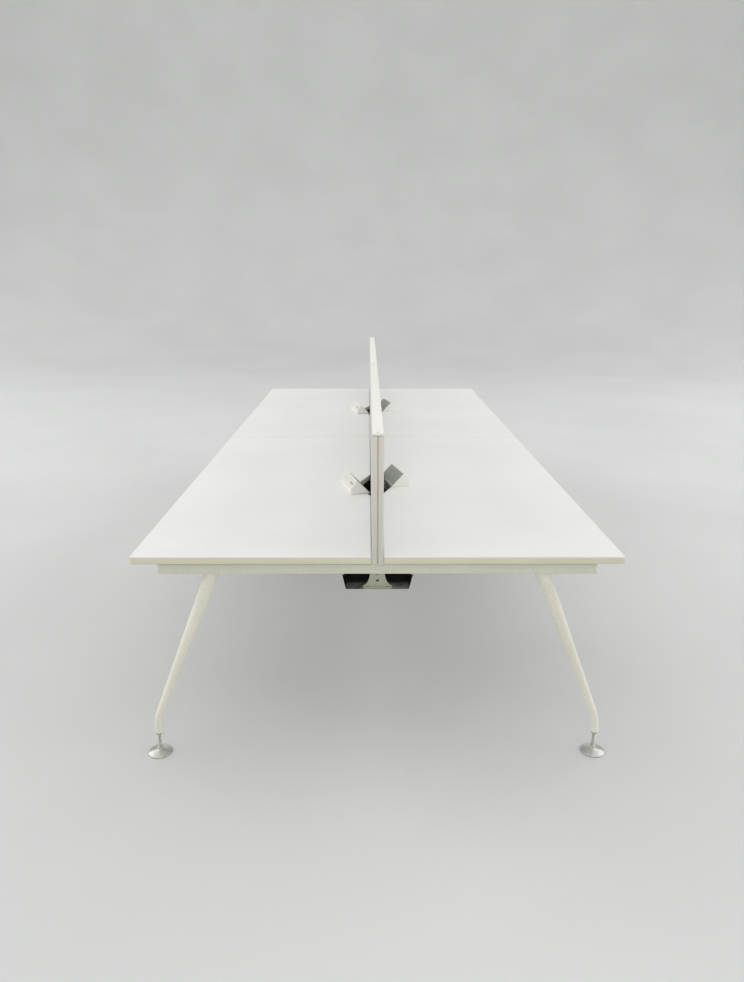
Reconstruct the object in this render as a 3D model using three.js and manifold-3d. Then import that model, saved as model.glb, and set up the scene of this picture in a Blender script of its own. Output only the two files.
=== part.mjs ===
// Double-sided benching desk: four tops on three splayed leg frames, a screen along the middle,
// power units clamped at scallops in the tops, and cable trays below.
// Millimetres, +Z up, +Y along the bench, origin on the floor under the middle of the bench.
import * as THREE from "three";
import { mergeVertices } from "three/addons/utils/BufferGeometryUtils.js";
import Module from "manifold-3d";

// Clearance between pieces that rest on each other or fit into each other
const SEAT = 0.3;

// Desktops: melamine boards, two to a row, with a gap for the screen between the rows
const TOP_LENGTH = 1799;
const TOP_DEPTH = 780;
const TOP_THICKNESS = 25;
const TOP_HEIGHT = 758;
const TOP_SEAM = 2;
const TOP_EDGE_ROUND = 1.5;
const TOP_CORNER_RADIUS = 6;
const TOP_SMALL_RADIUS = 4;

// Scallop in the inner edge of each top, for cables and for the power unit's clamp
const SCALLOP_SHIFT = 62; // of its middle, from the middle of the top towards the near end
const SCALLOP_MOUTH = 330;
const SCALLOP_FLOOR = 70;
const SCALLOP_DEPTH = 48;
const SCALLOP_RADIUS = 15;

// Cross rails: castings with coved ends, open on top under the boards
const RAIL_LENGTH = 1425;
const RAIL_DEPTH = 60;
const RAIL_HEIGHT = 36;
const RAIL_SETBACK = 8; // of the end rails, from the end of the tops
const RAIL_EDGE_ROUND = 2;
const RAIL_COVE = 3;
const RAIL_WALL = 5;
const RAIL_POCKET_RADIUS = 8;
const RAIL_CENTRE_BLOCK = 130; // solid length that the screen and the tray are bolted to
const RAIL_LEG_BLOCK = 100; // solid length over each leg

// Legs: oval taper from the rail to a knee, then an upright round end
const LEG_TOP_X = 539;
const LEG_FOOT_X = 769;
const LEG_KNEE_Z = 134;
const LEG_BEND_RADIUS = 170;
const LEG_END_Z = 80;
const LEG_TOP_WIDTH = 53;
const LEG_TOP_THICKNESS = 44;
const LEG_KNEE_WIDTH = 25;
const LEG_END_WIDTH = 28;
const LEG_END_ROUND = 6;
const LEG_FLARE = 6; // fillet under the rail

// Levelling feet: a chrome disc on a stud that screws into the leg
const FOOT_DIAMETER = 82;
const FOOT_RIM = 4;
const FOOT_CONE = 9; // rise of the disc from rim to hub
const FOOT_HUB_DIAMETER = 18;
const FOOT_HUB_HEIGHT = 10;
const FOOT_STUD_DIAMETER = 10;
const FOOT_STUD_GRIP = 40; // length inside the leg
const FOOT_BORE_SPARE = 2; // free length over the stud
const FOOT_CHAMFER = 1.5;
const FOOT_CONE_SWELL = 0.6; // share of the rise that is reached halfway in

// Long beams: steel channels with end flanges, between the rails
const BEAM_X = 400;
const BEAM_WIDTH = 50;
const BEAM_WALL = 3;
const BEAM_LIP = 12;
const BEAM_FLANGE_LENGTH = 110;
const BEAM_FLANGE = 4;
const BEAM_FLANGE_INSET = 1; // of the flange's edges, from the channel's faces
const BEAM_BOLT_HOLE = 9;
const BEAM_BOLT_SPACING = 84;

// Cable trays: folded troughs under the middle of the bench
const TRAY_MOUTH = 236;
const TRAY_FLOOR = 210;
const TRAY_DEPTH = 56;
const TRAY_DROP = 3; // from the rail's underside to the tray's rim
const TRAY_SHEET = 2;
const TRAY_HEM = 9;
const TRAY_BEND = 6;
const TRAY_END_SETBACK = 14; // from the end of the tops
const TRAY_MIDDLE_GAP = 8;

// Tray hangers: folded plates, narrow at the rail and wide on the tray's floor
const HANGER_SHEET = 3;
const HANGER_TOP_WIDTH = 48;
const HANGER_FOOT_WIDTH = 97;
const HANGER_FOOT_HEIGHT = 4;
const HANGER_FOOT_ROUND = 12;
const HANGER_FLANGE = 20;
const HANGER_BEND = 3;
const HANGER_SLOT_WIDTH = 11;
const HANGER_SLOT_HEIGHT = 6;
const HANGER_SLOT_DROP = 35; // from the rail's underside to the slot's middle
const HANGER_END_SETBACK = 3; // from the end of the tray to the edge of the foot

// Screen: extruded posts, caps and bottom rails round fabric-faced panels
const SCREEN_TOP = 1163;
const SCREEN_WIDTH = 36;
const SCREEN_PANEL = 30;
const SCREEN_CAP_HEIGHT = 9;
const SCREEN_CAP_SKIN = 3;
const SCREEN_CAP_ROUND = 3;
const SCREEN_BOTTOM_RAIL = 12;
const SCREEN_BOTTOM_SKIN = 2.4;
const SCREEN_SEAM = 1; // between the two caps
const SCREEN_FIT = 0.4; // round the panel, in its channels
const POST_END_SETBACK = 1; // of the end posts, from the end of the tops
const POST_DEPTH = 24;
const POST_MIDDLE_DEPTH = 30;
const POST_CHANNEL = 8;
const POST_SLOT_WIDTH = 5;
const POST_SLOT_DEPTH = 5;
const POST_ROUND = 1.5;
const SHOE_HEIGHT = 50;
const SHOE_SHEET = 1.3;
const SHOE_FLOOR = 2;
const SHOE_BEND = 1;
const SHOE_CLEARANCE = 0.4; // from a shoe to the tops beside it

// Power units: wedge-shaped housings that sit at the right hand of each user
const UNIT_SLANT = 15; // degrees, from the line of the bench
const UNIT_LENGTH = 182;
const UNIT_DEPTH = 84;
const UNIT_HEIGHT = 58;
const UNIT_LIP = 23; // upright edge at the user's side
const UNIT_RIDGE = 26; // from the upright edge back to the ridge
const UNIT_CHEEK = 4;
const UNIT_RIDGE_ROUND = 2;
const UNIT_RIDGE_WIDTH = 5; // of housing between the ridge and each plate
const UNIT_CORNER_ROUND = 3;
const UNIT_OVERHANG = 12; // of the cheeks, over the scallop
const SOCKET_PLATE = 2.5;
const SOCKET_PLATE_ROUND = 2;
const SOCKET_PLATE_BEVEL = 0.6;
const CLAMP_SHEET = 2;
const CLAMP_TAB_WIDTH = 60;
const CLAMP_TAB_INSET = 0.7; // from the end of the back plate to the tab
const CLAMP_EDGE_GAP = 0.5; // between the tab and the edge of the top
const CLAMP_JAW = 50;
const CLAMP_SCREW_REACH = 30; // from the edge of the top to the screw
const CLAMP_SCREW_DIAMETER = 8;
const CLAMP_PAD_DIAMETER = 15;
const CLAMP_PAD = 3;
const CLAMP_KNOB_DIAMETER = 22;
const CLAMP_KNOB = 10;
const CLAMP_KNOB_ROUND = 1.5;
const CLAMP_SCREW_TRAVEL = 12; // of the pad, from the top's underside down
const CLAMP_PAD_SPARE = 1.7; // from the pad to the jaw when the screw is all the way out

// Places that follow from the sizes above
const BENCH_HALF = TOP_SEAM / 2 + TOP_LENGTH;
const CENTRE_GAP = SCREEN_WIDTH + 2 * (SEAT + SHOE_SHEET + SHOE_CLEARANCE);
const TOP_UNDERSIDE = TOP_HEIGHT - TOP_THICKNESS;
const RAIL_TOP = TOP_UNDERSIDE - SEAT;
const RAIL_BOTTOM = RAIL_TOP - RAIL_HEIGHT;
const RAIL_Y = BENCH_HALF - RAIL_SETBACK - RAIL_DEPTH / 2;
const TRAY_RIM_Z = RAIL_BOTTOM - TRAY_DROP;
const TRAY_FLOOR_Z = TRAY_RIM_Z - TRAY_DEPTH + TRAY_SHEET;
const SHOE_BASE_Z = RAIL_TOP + SEAT;
const POST_FOOT_Z = SHOE_BASE_Z + SHOE_FLOOR + SEAT;
const POST_TOP_Z = SCREEN_TOP - SCREEN_CAP_HEIGHT - SEAT;
const POST_OUTER_Y = BENCH_HALF - POST_END_SETBACK;
const POST_INNER_Y = POST_OUTER_Y - POST_DEPTH;
const POST_MIDDLE_Y = POST_MIDDLE_DEPTH / 2;
const CHANNEL_HALF = SCREEN_PANEL / 2 + SCREEN_FIT;
const CLAMP_THROAT = SEAT + CLAMP_PAD + CLAMP_SCREW_TRAVEL + CLAMP_PAD_SPARE;
const CLAMP_OPENING = TOP_THICKNESS + CLAMP_THROAT; // from the top's face down to the jaw

const SIDES = [
  ["left", -1],
  ["right", 1],
];
const ENDS = [
  ["near", -1],
  ["far", 1],
];
const FRAMES = [
  ["near", -1],
  ["middle", 0],
  ["far", 1],
];

// Finishes
const WHITE_BOARD = { color: 0xe7e7e3, roughness: 0.45, metalness: 0 };
const FRAME_PAINT = { color: 0xdcdcd2, roughness: 0.5, metalness: 0 };
const POST_PAINT = { color: 0xd8d8ce, roughness: 0.45, metalness: 0 };
const CAP_PAINT = { color: 0xf2f0ea, roughness: 0.45, metalness: 0 };
const CHROME = { color: 0xdcdce0, roughness: 0.12, metalness: 1 };
const SCREEN_CLOTH = { color: 0xc8c9c4, roughness: 0.95, metalness: 0 };
const TRAY_PAINT = { color: 0x2c2e2f, roughness: 0.6, metalness: 0 };
const WHITE_PLASTIC = { color: 0xf1f0eb, roughness: 0.4, metalness: 0 };
const PLATE_PLASTIC = { color: 0xf4f3ef, roughness: 0.3, metalness: 0 };
const GREY_STEEL = { color: 0x868b84, roughness: 0.6, metalness: 0.2 };
const SCREW_STEEL = { color: 0xb4b6b8, roughness: 0.35, metalness: 1 };

const bench = new THREE.Group();
const wasm = await Module();
wasm.setup();

// A named piece in its group, with its own material.
function piece(name, geometry, finish, group = bench) {
  const mesh = new THREE.Mesh(geometry, new THREE.MeshStandardMaterial(finish));
  mesh.name = name;
  group.add(mesh);
  return mesh;
}

// A closed geometry as a solid that can be joined and cut.
function solidOf(geometry) {
  const bare = new THREE.BufferGeometry();
  bare.setAttribute("position", geometry.getAttribute("position"));
  bare.setIndex(geometry.index);
  const merged = mergeVertices(bare, 1e-4);
  const mesh = new wasm.Mesh({
    numProp: 3,
    vertProperties: new Float32Array(merged.attributes.position.array),
    triVerts: new Uint32Array(merged.index.array),
  });
  return new wasm.Manifold(mesh);
}

// A solid back as a geometry.
function geometryOf(solid) {
  const mesh = solid.getMesh();
  const geometry = new THREE.BufferGeometry();
  geometry.setAttribute("position", new THREE.BufferAttribute(mesh.vertProperties, 3));
  geometry.setIndex(new THREE.BufferAttribute(mesh.triVerts, 1));
  return geometry;
}

function join(...geometries) {
  return geometryOf(geometries.map(solidOf).reduce((whole, next) => whole.add(next)));
}

function cut(geometry, ...tools) {
  return geometryOf(tools.map(solidOf).reduce((whole, tool) => whole.subtract(tool), solidOf(geometry)));
}

function common(first, second) {
  return geometryOf(solidOf(first).intersect(solidOf(second)));
}

// A closed outline through corners [x, y, radius], each rounded by an arc of its radius.
function outline(corners) {
  const shape = new THREE.Shape();
  const count = corners.length;
  const at = (i) => new THREE.Vector2(corners[(i + count) % count][0], corners[(i + count) % count][1]);
  corners.forEach(([x, y, radius = 0], i) => {
    const corner = new THREE.Vector2(x, y);
    const back = at(i - 1).sub(corner).normalize();
    const ahead = at(i + 1).sub(corner).normalize();
    const half = Math.acos(THREE.MathUtils.clamp(back.dot(ahead), -1, 1)) / 2;
    const start = corner.clone().addScaledVector(back, radius / Math.tan(half));
    if (i === 0) shape.moveTo(start.x, start.y);
    else shape.lineTo(start.x, start.y);
    if (radius === 0) return;
    const end = corner.clone().addScaledVector(ahead, radius / Math.tan(half));
    const bisector = back.clone().add(ahead).normalize();
    const centre = corner.clone().addScaledVector(bisector, radius / Math.sin(half));
    const from = start.clone().sub(centre).angle();
    const to = end.clone().sub(centre).angle();
    shape.absarc(centre.x, centre.y, radius, from, to, back.cross(ahead) > 0);
  });
  shape.closePath();
  return shape;
}

function rectangle(width, height, radius = 0) {
  const x = width / 2;
  const y = height / 2;
  return outline([
    [-x, -y, radius],
    [x, -y, radius],
    [x, y, radius],
    [-x, y, radius],
  ]);
}

// A shape in the plan, raised from z = low to z = high, with its edges rounded by the bevel.
function raise(shape, low, high, bevel = 0, arcSteps = 2) {
  const geometry = new THREE.ExtrudeGeometry(shape, {
    depth: high - low - 2 * bevel,
    bevelEnabled: bevel > 0,
    bevelThickness: bevel,
    bevelSize: bevel,
    bevelOffset: -bevel,
    bevelSegments: 1,
    curveSegments: arcSteps,
  });
  return geometry.translate(0, 0, low + bevel);
}

// A shape in the front view (x, z), carried along the bench from one y to another.
function alongY(shape, from, to, bevel = 0, arcSteps = 2) {
  const length = to - from;
  return raise(shape, 0, length, bevel, arcSteps).rotateX(Math.PI / 2).translate(0, to, 0);
}

// A shape in the side view (y, z), carried across from one x to another.
function alongX(shape, from, to, arcSteps = 2) {
  const yAxis = new THREE.Vector3(0, 1, 0);
  const zAxis = new THREE.Vector3(0, 0, 1);
  const xAxis = new THREE.Vector3(1, 0, 0);
  const turn = new THREE.Matrix4().makeBasis(yAxis, zAxis, xAxis);
  return raise(shape, 0, to - from, 0, arcSteps).applyMatrix4(turn).translate(from, 0, 0);
}

// A turned piece on the z axis, from its profile of [radius, z] points.
function turned(profile, sides = 20) {
  const points = profile.map(([radius, z]) => new THREE.Vector2(radius, z));
  return new THREE.LatheGeometry(points, sides).rotateX(Math.PI / 2);
}

// A round hole's tool on the z axis.
function drill(diameter, low, high, sides = 20) {
  const cylinder = new THREE.CylinderGeometry(diameter / 2, diameter / 2, high - low, sides);
  return cylinder.rotateX(Math.PI / 2).translate(0, 0, (low + high) / 2);
}

// A closed skin over a stack of level ellipses, lowest first.
function loftLevels(levels, sides = 14) {
  const positions = [];
  const index = [];
  for (const { x, z, halfX, halfY } of levels) {
    for (let i = 0; i < sides; i++) {
      const angle = (2 * Math.PI * i) / sides;
      positions.push(x + halfX * Math.cos(angle), halfY * Math.sin(angle), z);
    }
  }
  const last = levels.length - 1;
  positions.push(levels[0].x, 0, levels[0].z);
  positions.push(levels[last].x, 0, levels[last].z);
  const bottom = levels.length * sides;
  const top = bottom + 1;
  for (let i = 0; i < sides; i++) {
    const next = (i + 1) % sides;
    for (let k = 0; k < last; k++) {
      const low = k * sides;
      const high = low + sides;
      index.push(low + i, low + next, high + next);
      index.push(low + i, high + next, high + i);
    }
    index.push(bottom, next, i);
    index.push(top, last * sides + i, last * sides + next);
  }
  const geometry = new THREE.BufferGeometry();
  geometry.setAttribute("position", new THREE.BufferAttribute(new Float32Array(positions), 3));
  geometry.setIndex(index);
  return geometry;
}

// Where the middle of a scallop lies along the bench: the far tops are the near ones moved along.
function scallopMiddle(end) {
  return (end * (TOP_SEAM + TOP_LENGTH)) / 2 - SCALLOP_SHIFT;
}

// Desktops
function desktop(side, end) {
  const inner = CENTRE_GAP / 2;
  const outer = inner + TOP_DEPTH;
  const seam = TOP_SEAM / 2;
  const deep = inner + SCALLOP_DEPTH;
  const middle = end * scallopMiddle(end);
  const corners = [
    [inner, seam, TOP_SMALL_RADIUS],
    [outer, seam, TOP_SMALL_RADIUS],
    [outer, BENCH_HALF, TOP_CORNER_RADIUS],
    [inner, BENCH_HALF, TOP_SMALL_RADIUS],
    [inner, middle + SCALLOP_MOUTH / 2, SCALLOP_RADIUS],
    [deep, middle + SCALLOP_FLOOR / 2, SCALLOP_RADIUS],
    [deep, middle - SCALLOP_FLOOR / 2, SCALLOP_RADIUS],
    [inner, middle - SCALLOP_MOUTH / 2, SCALLOP_RADIUS],
  ];
  const placed = corners.map(([x, y, radius]) => [side * x, end * y, radius]);
  return raise(outline(placed), TOP_UNDERSIDE, TOP_HEIGHT, TOP_EDGE_ROUND);
}

for (const [endName, end] of ENDS) {
  for (const [sideName, side] of SIDES) {
    piece(`desktop_${endName}_${sideName}`, desktop(side, end), WHITE_BOARD);
  }
}

// Cross rails
function railFront() {
  const half = RAIL_LENGTH / 2;
  const middle = (RAIL_TOP + RAIL_BOTTOM) / 2;
  const shape = new THREE.Shape();
  shape.moveTo(-half, RAIL_BOTTOM);
  shape.lineTo(half, RAIL_BOTTOM);
  shape.quadraticCurveTo(half - 2 * RAIL_COVE, middle, half, RAIL_TOP);
  shape.lineTo(-half, RAIL_TOP);
  shape.quadraticCurveTo(2 * RAIL_COVE - half, middle, -half, RAIL_BOTTOM);
  return shape;
}

function crossRail(y) {
  const bar = alongY(railFront(), y - RAIL_DEPTH / 2, y + RAIL_DEPTH / 2, RAIL_EDGE_ROUND, 6);
  const endWall = RAIL_LENGTH / 2 - RAIL_COVE - RAIL_WALL;
  const pockets = [
    [RAIL_CENTRE_BLOCK / 2, LEG_TOP_X - RAIL_LEG_BLOCK / 2],
    [LEG_TOP_X + RAIL_LEG_BLOCK / 2, endWall],
  ];
  const tools = [];
  for (const [, side] of SIDES) {
    for (const [from, to] of pockets) {
      const plan = rectangle(to - from, RAIL_DEPTH - 2 * RAIL_WALL, RAIL_POCKET_RADIUS);
      const pocket = raise(plan, RAIL_BOTTOM + RAIL_WALL, RAIL_TOP + RAIL_WALL);
      tools.push(pocket.translate((side * (from + to)) / 2, y, 0));
    }
  }
  return cut(bar, ...tools);
}

for (const [frameName, frame] of FRAMES) {
  piece(`cross_rail_${frameName}`, crossRail(frame * RAIL_Y), FRAME_PAINT);
}

// Legs
function legCentre(z) {
  const lean = Math.atan2(LEG_FOOT_X - LEG_TOP_X, RAIL_BOTTOM - LEG_KNEE_Z);
  const tangent = LEG_BEND_RADIUS * Math.tan(lean / 2);
  const bendLow = LEG_KNEE_Z - tangent;
  const bendHigh = LEG_KNEE_Z + tangent * Math.cos(lean);
  if (z >= bendHigh) return LEG_FOOT_X - (z - LEG_KNEE_Z) * Math.tan(lean);
  if (z <= bendLow) return LEG_FOOT_X;
  return LEG_FOOT_X - LEG_BEND_RADIUS + Math.sqrt(LEG_BEND_RADIUS ** 2 - (z - bendLow) ** 2);
}

// Width of a leg at a level: straight taper down to the knee, then a slight swell to the end.
function legWidth(z, topWidth) {
  if (z >= LEG_KNEE_Z) {
    const share = (z - LEG_KNEE_Z) / (RAIL_BOTTOM - LEG_KNEE_Z);
    return THREE.MathUtils.lerp(LEG_KNEE_WIDTH, topWidth, share);
  }
  const share = THREE.MathUtils.smoothstep(z, LEG_END_Z, LEG_KNEE_Z);
  return THREE.MathUtils.lerp(LEG_END_WIDTH, LEG_KNEE_WIDTH, share);
}

function leg(side, y) {
  const levels = [];
  const addLevel = (z, grow) => {
    levels.push({
      x: side * legCentre(z),
      z,
      halfX: legWidth(z, LEG_TOP_WIDTH) / 2 + grow,
      halfY: legWidth(z, LEG_TOP_THICKNESS) / 2 + grow,
    });
  };
  const roundSteps = 3;
  for (let i = 0; i < roundSteps; i++) {
    const angle = ((Math.PI / 2) * i) / roundSteps;
    addLevel(LEG_END_Z + LEG_END_ROUND * (1 - Math.cos(angle)), LEG_END_ROUND * (Math.sin(angle) - 1));
  }
  const bendSteps = 6;
  const bendFrom = LEG_END_Z + LEG_END_ROUND;
  const bendTo = 2 * LEG_KNEE_Z - bendFrom;
  for (let i = 0; i <= bendSteps; i++) {
    addLevel(THREE.MathUtils.lerp(bendFrom, bendTo, i / bendSteps), 0);
  }
  const legTop = RAIL_BOTTOM - SEAT;
  addLevel((bendTo + legTop) / 2, 0);
  const flareSteps = 3;
  for (let i = 0; i <= flareSteps; i++) {
    const angle = ((Math.PI / 2) * i) / flareSteps;
    addLevel(legTop - LEG_FLARE * (1 - Math.sin(angle)), LEG_FLARE * (1 - Math.cos(angle)));
  }
  const boreTop = LEG_END_Z + FOOT_STUD_GRIP + FOOT_BORE_SPARE;
  const bore = drill(FOOT_STUD_DIAMETER + 2 * SEAT, LEG_END_Z - LEG_END_ROUND, boreTop, 16);
  const body = loftLevels(levels);
  return cut(body, bore.translate(side * LEG_FOOT_X, 0, 0)).translate(0, y, 0);
}

// Levelling feet
function levellingFoot() {
  const rim = FOOT_DIAMETER / 2;
  const hub = FOOT_HUB_DIAMETER / 2;
  const stud = FOOT_STUD_DIAMETER / 2;
  const coneTop = FOOT_RIM + FOOT_CONE;
  const hubTop = coneTop + FOOT_HUB_HEIGHT;
  const studTop = LEG_END_Z + FOOT_STUD_GRIP;
  return turned(
    [
      [0, 0],
      [rim - FOOT_CHAMFER, 0],
      [rim, FOOT_CHAMFER],
      [rim, FOOT_RIM - FOOT_CHAMFER],
      [rim - FOOT_CHAMFER, FOOT_RIM],
      [(rim + hub) / 2, FOOT_RIM + FOOT_CONE * FOOT_CONE_SWELL],
      [hub, coneTop],
      [hub, hubTop - FOOT_CHAMFER],
      [hub - FOOT_CHAMFER, hubTop],
      [stud, hubTop],
      [stud, studTop - FOOT_CHAMFER],
      [stud - FOOT_CHAMFER, studTop],
      [0, studTop],
    ],
    16,
  );
}

for (const [frameName, frame] of FRAMES) {
  for (const [sideName, side] of SIDES) {
    piece(`leg_${frameName}_${sideName}`, leg(side, frame * RAIL_Y), FRAME_PAINT);
    const foot = piece(`foot_${frameName}_${sideName}`, levellingFoot(), CHROME);
    foot.position.set(side * LEG_FOOT_X, frame * RAIL_Y, 0);
  }
}

// Long beams
function beamSection() {
  const half = BEAM_WIDTH / 2;
  return outline([
    [-half, RAIL_BOTTOM, BEAM_WALL],
    [half, RAIL_BOTTOM, BEAM_WALL],
    [half, RAIL_BOTTOM + BEAM_LIP],
    [half - BEAM_WALL, RAIL_BOTTOM + BEAM_LIP],
    [half - BEAM_WALL, RAIL_BOTTOM + BEAM_WALL],
    [BEAM_WALL - half, RAIL_BOTTOM + BEAM_WALL],
    [BEAM_WALL - half, RAIL_TOP - BEAM_WALL],
    [half - BEAM_WALL, RAIL_TOP - BEAM_WALL],
    [half - BEAM_WALL, RAIL_TOP - BEAM_LIP],
    [half, RAIL_TOP - BEAM_LIP],
    [half, RAIL_TOP, BEAM_WALL],
    [-half, RAIL_TOP, BEAM_WALL],
  ]);
}

function beamFlange(from) {
  const middle = (RAIL_TOP + RAIL_BOTTOM) / 2;
  const shape = rectangle(BEAM_FLANGE_LENGTH, RAIL_HEIGHT - 2 * BEAM_FLANGE_INSET);
  for (const [, side] of SIDES) {
    const hole = new THREE.Path();
    hole.absarc((side * BEAM_BOLT_SPACING) / 2, 0, BEAM_BOLT_HOLE / 2, 0, 2 * Math.PI, true);
    shape.holes.push(hole);
  }
  return alongY(shape, from, from + BEAM_FLANGE).translate(0, 0, middle);
}

function longBeam(side, end) {
  const inner = RAIL_DEPTH / 2 + SEAT;
  const outer = RAIL_Y - RAIL_DEPTH / 2 - SEAT;
  const channel = alongY(beamSection(), inner + BEAM_FLANGE / 2, outer - BEAM_FLANGE / 2);
  const beam = join(channel, beamFlange(inner), beamFlange(outer - BEAM_FLANGE));
  return beam.rotateZ(end > 0 ? 0 : Math.PI).translate(side * BEAM_X, 0, 0);
}

for (const [endName, end] of ENDS) {
  for (const [sideName, side] of SIDES) {
    piece(`long_beam_${endName}_${sideName}`, longBeam(side, end), FRAME_PAINT);
  }
}

// Cable trays
function traySection() {
  const mouth = TRAY_MOUTH / 2;
  const floor = TRAY_FLOOR / 2;
  const base = TRAY_RIM_Z - TRAY_DEPTH;
  const lean = (mouth - floor) / TRAY_DEPTH;
  const wall = TRAY_SHEET * Math.hypot(1, lean);
  const innerFloor = floor + lean * TRAY_SHEET - wall;
  const innerMouth = mouth - lean * TRAY_SHEET - wall;
  const hemEnd = mouth - TRAY_HEM;
  const half = [
    [floor, base, TRAY_BEND],
    [mouth, TRAY_RIM_Z, TRAY_SHEET],
    [hemEnd, TRAY_RIM_Z],
    [hemEnd, TRAY_RIM_Z - TRAY_SHEET],
    [innerMouth, TRAY_RIM_Z - TRAY_SHEET],
    [innerFloor, base + TRAY_SHEET, TRAY_BEND - TRAY_SHEET],
  ];
  const mirrored = half.map(([x, z, radius]) => [-x, z, radius]).reverse();
  return outline([...half, ...mirrored]);
}

for (const [endName, end] of ENDS) {
  const inner = TRAY_MIDDLE_GAP / 2;
  const outer = BENCH_HALF - TRAY_END_SETBACK;
  const tray = alongY(traySection(), inner, outer).rotateZ(end > 0 ? 0 : Math.PI);
  piece(`cable_tray_${endName}`, tray, TRAY_PAINT);
}

// Tray hangers: the folded plate's side view, trimmed by its flared front view
function hangerSide() {
  const top = RAIL_BOTTOM - SEAT;
  const base = TRAY_FLOOR_Z + SEAT;
  const outerBend = HANGER_BEND + HANGER_SHEET;
  return outline([
    [0, base, outerBend],
    [0, top, outerBend],
    [HANGER_FLANGE, top],
    [HANGER_FLANGE, top - HANGER_SHEET],
    [HANGER_SHEET, top - HANGER_SHEET, HANGER_BEND],
    [HANGER_SHEET, base + HANGER_SHEET, HANGER_BEND],
    [HANGER_FLANGE, base + HANGER_SHEET],
    [HANGER_FLANGE, base],
  ]);
}

function hangerFront() {
  const top = RAIL_BOTTOM - SEAT;
  const base = TRAY_FLOOR_Z + SEAT;
  const narrow = HANGER_TOP_WIDTH / 2;
  const wide = HANGER_FOOT_WIDTH / 2;
  const shoulder = base + HANGER_FOOT_HEIGHT;
  const neck = top - HANGER_SHEET;
  const shape = new THREE.Shape();
  shape.moveTo(-wide, base);
  shape.lineTo(wide, base);
  shape.lineTo(wide, shoulder);
  shape.absellipse(wide, neck, wide - narrow, neck - shoulder, -Math.PI / 2, -Math.PI, true, 0);
  shape.lineTo(narrow, top);
  shape.lineTo(-narrow, top);
  shape.absellipse(-wide, neck, wide - narrow, neck - shoulder, 0, -Math.PI / 2, true, 0);
  shape.closePath();
  return shape;
}

function trayHanger(y, facing) {
  const folded = alongX(hangerSide(), -HANGER_FOOT_WIDTH, HANGER_FOOT_WIDTH);
  const flared = common(folded, alongY(hangerFront(), -HANGER_FLANGE, 2 * HANGER_FLANGE, 0, 6));
  const wide = HANGER_FOOT_WIDTH / 2;
  const plan = outline([
    [-wide, -HANGER_SHEET],
    [wide, -HANGER_SHEET],
    [wide, HANGER_FLANGE, HANGER_FOOT_ROUND],
    [-wide, HANGER_FLANGE, HANGER_FOOT_ROUND],
  ]);
  const trimmed = common(flared, raise(plan, TRAY_FLOOR_Z, RAIL_BOTTOM, 0, 3));
  const slot = rectangle(HANGER_SLOT_WIDTH, HANGER_SLOT_HEIGHT, HANGER_SLOT_HEIGHT / 2 - SEAT);
  const tool = alongY(slot, -HANGER_FLANGE, HANGER_FLANGE, 0, 3);
  const plate = cut(trimmed, tool.translate(0, 0, RAIL_BOTTOM - HANGER_SLOT_DROP));
  return plate.rotateZ(facing > 0 ? 0 : Math.PI).translate(0, y, 0);
}

for (const [endName, end] of ENDS) {
  const footReach = HANGER_END_SETBACK + HANGER_FLANGE;
  const outer = BENCH_HALF - TRAY_END_SETBACK - footReach;
  const inner = TRAY_MIDDLE_GAP / 2 + HANGER_END_SETBACK;
  piece(`tray_hanger_${endName}_end`, trayHanger(end * outer, end), FRAME_PAINT);
  piece(`tray_hanger_${endName}_middle`, trayHanger(end * inner, end), FRAME_PAINT);
}

// Screen posts: an end post has a slot outside and a channel inside, the middle one two channels
function endPostPlan() {
  const half = SCREEN_WIDTH / 2;
  const slot = POST_SLOT_WIDTH / 2;
  const slotFloor = POST_OUTER_Y - POST_SLOT_DEPTH;
  const channelFloor = POST_INNER_Y + POST_CHANNEL;
  return outline([
    [-half, POST_INNER_Y],
    [-CHANNEL_HALF, POST_INNER_Y],
    [-CHANNEL_HALF, channelFloor],
    [CHANNEL_HALF, channelFloor],
    [CHANNEL_HALF, POST_INNER_Y],
    [half, POST_INNER_Y],
    [half, POST_OUTER_Y, POST_ROUND],
    [slot, POST_OUTER_Y],
    [slot, slotFloor],
    [-slot, slotFloor],
    [-slot, POST_OUTER_Y],
    [-half, POST_OUTER_Y, POST_ROUND],
  ]);
}

function middlePostPlan() {
  const half = SCREEN_WIDTH / 2;
  const channelFloor = POST_MIDDLE_Y - POST_CHANNEL;
  const upper = [
    [half, POST_MIDDLE_Y],
    [CHANNEL_HALF, POST_MIDDLE_Y],
    [CHANNEL_HALF, channelFloor],
    [-CHANNEL_HALF, channelFloor],
    [-CHANNEL_HALF, POST_MIDDLE_Y],
    [-half, POST_MIDDLE_Y],
  ];
  const lower = upper.map(([x, y]) => [-x, -y]);
  return outline([...upper, ...lower]);
}

// Screen shoes: folded brackets that stand on the rails and hold the posts' feet
function screenShoe(from, to) {
  const inner = SCREEN_WIDTH / 2 + SEAT;
  const outer = inner + SHOE_SHEET;
  const floor = SHOE_BASE_Z + SHOE_FLOOR;
  const lip = SHOE_BASE_Z + SHOE_HEIGHT;
  const front = outline([
    [-outer, SHOE_BASE_Z, SHOE_BEND],
    [outer, SHOE_BASE_Z, SHOE_BEND],
    [outer, lip],
    [inner, lip],
    [inner, floor],
    [-inner, floor],
    [-inner, lip],
    [-outer, lip],
  ]);
  return alongY(front, from, to);
}

for (const [endName, end] of ENDS) {
  const post = raise(endPostPlan(), POST_FOOT_Z, POST_TOP_Z).rotateZ(end > 0 ? 0 : Math.PI);
  piece(`screen_post_${endName}`, post, POST_PAINT);
  const shoe = screenShoe(POST_INNER_Y, POST_OUTER_Y).rotateZ(end > 0 ? 0 : Math.PI);
  piece(`screen_shoe_${endName}`, shoe, POST_PAINT);
}
piece("screen_post_middle", raise(middlePostPlan(), POST_FOOT_Z, POST_TOP_Z), POST_PAINT);
piece("screen_shoe_middle", screenShoe(-POST_MIDDLE_Y, POST_MIDDLE_Y), POST_PAINT);

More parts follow.
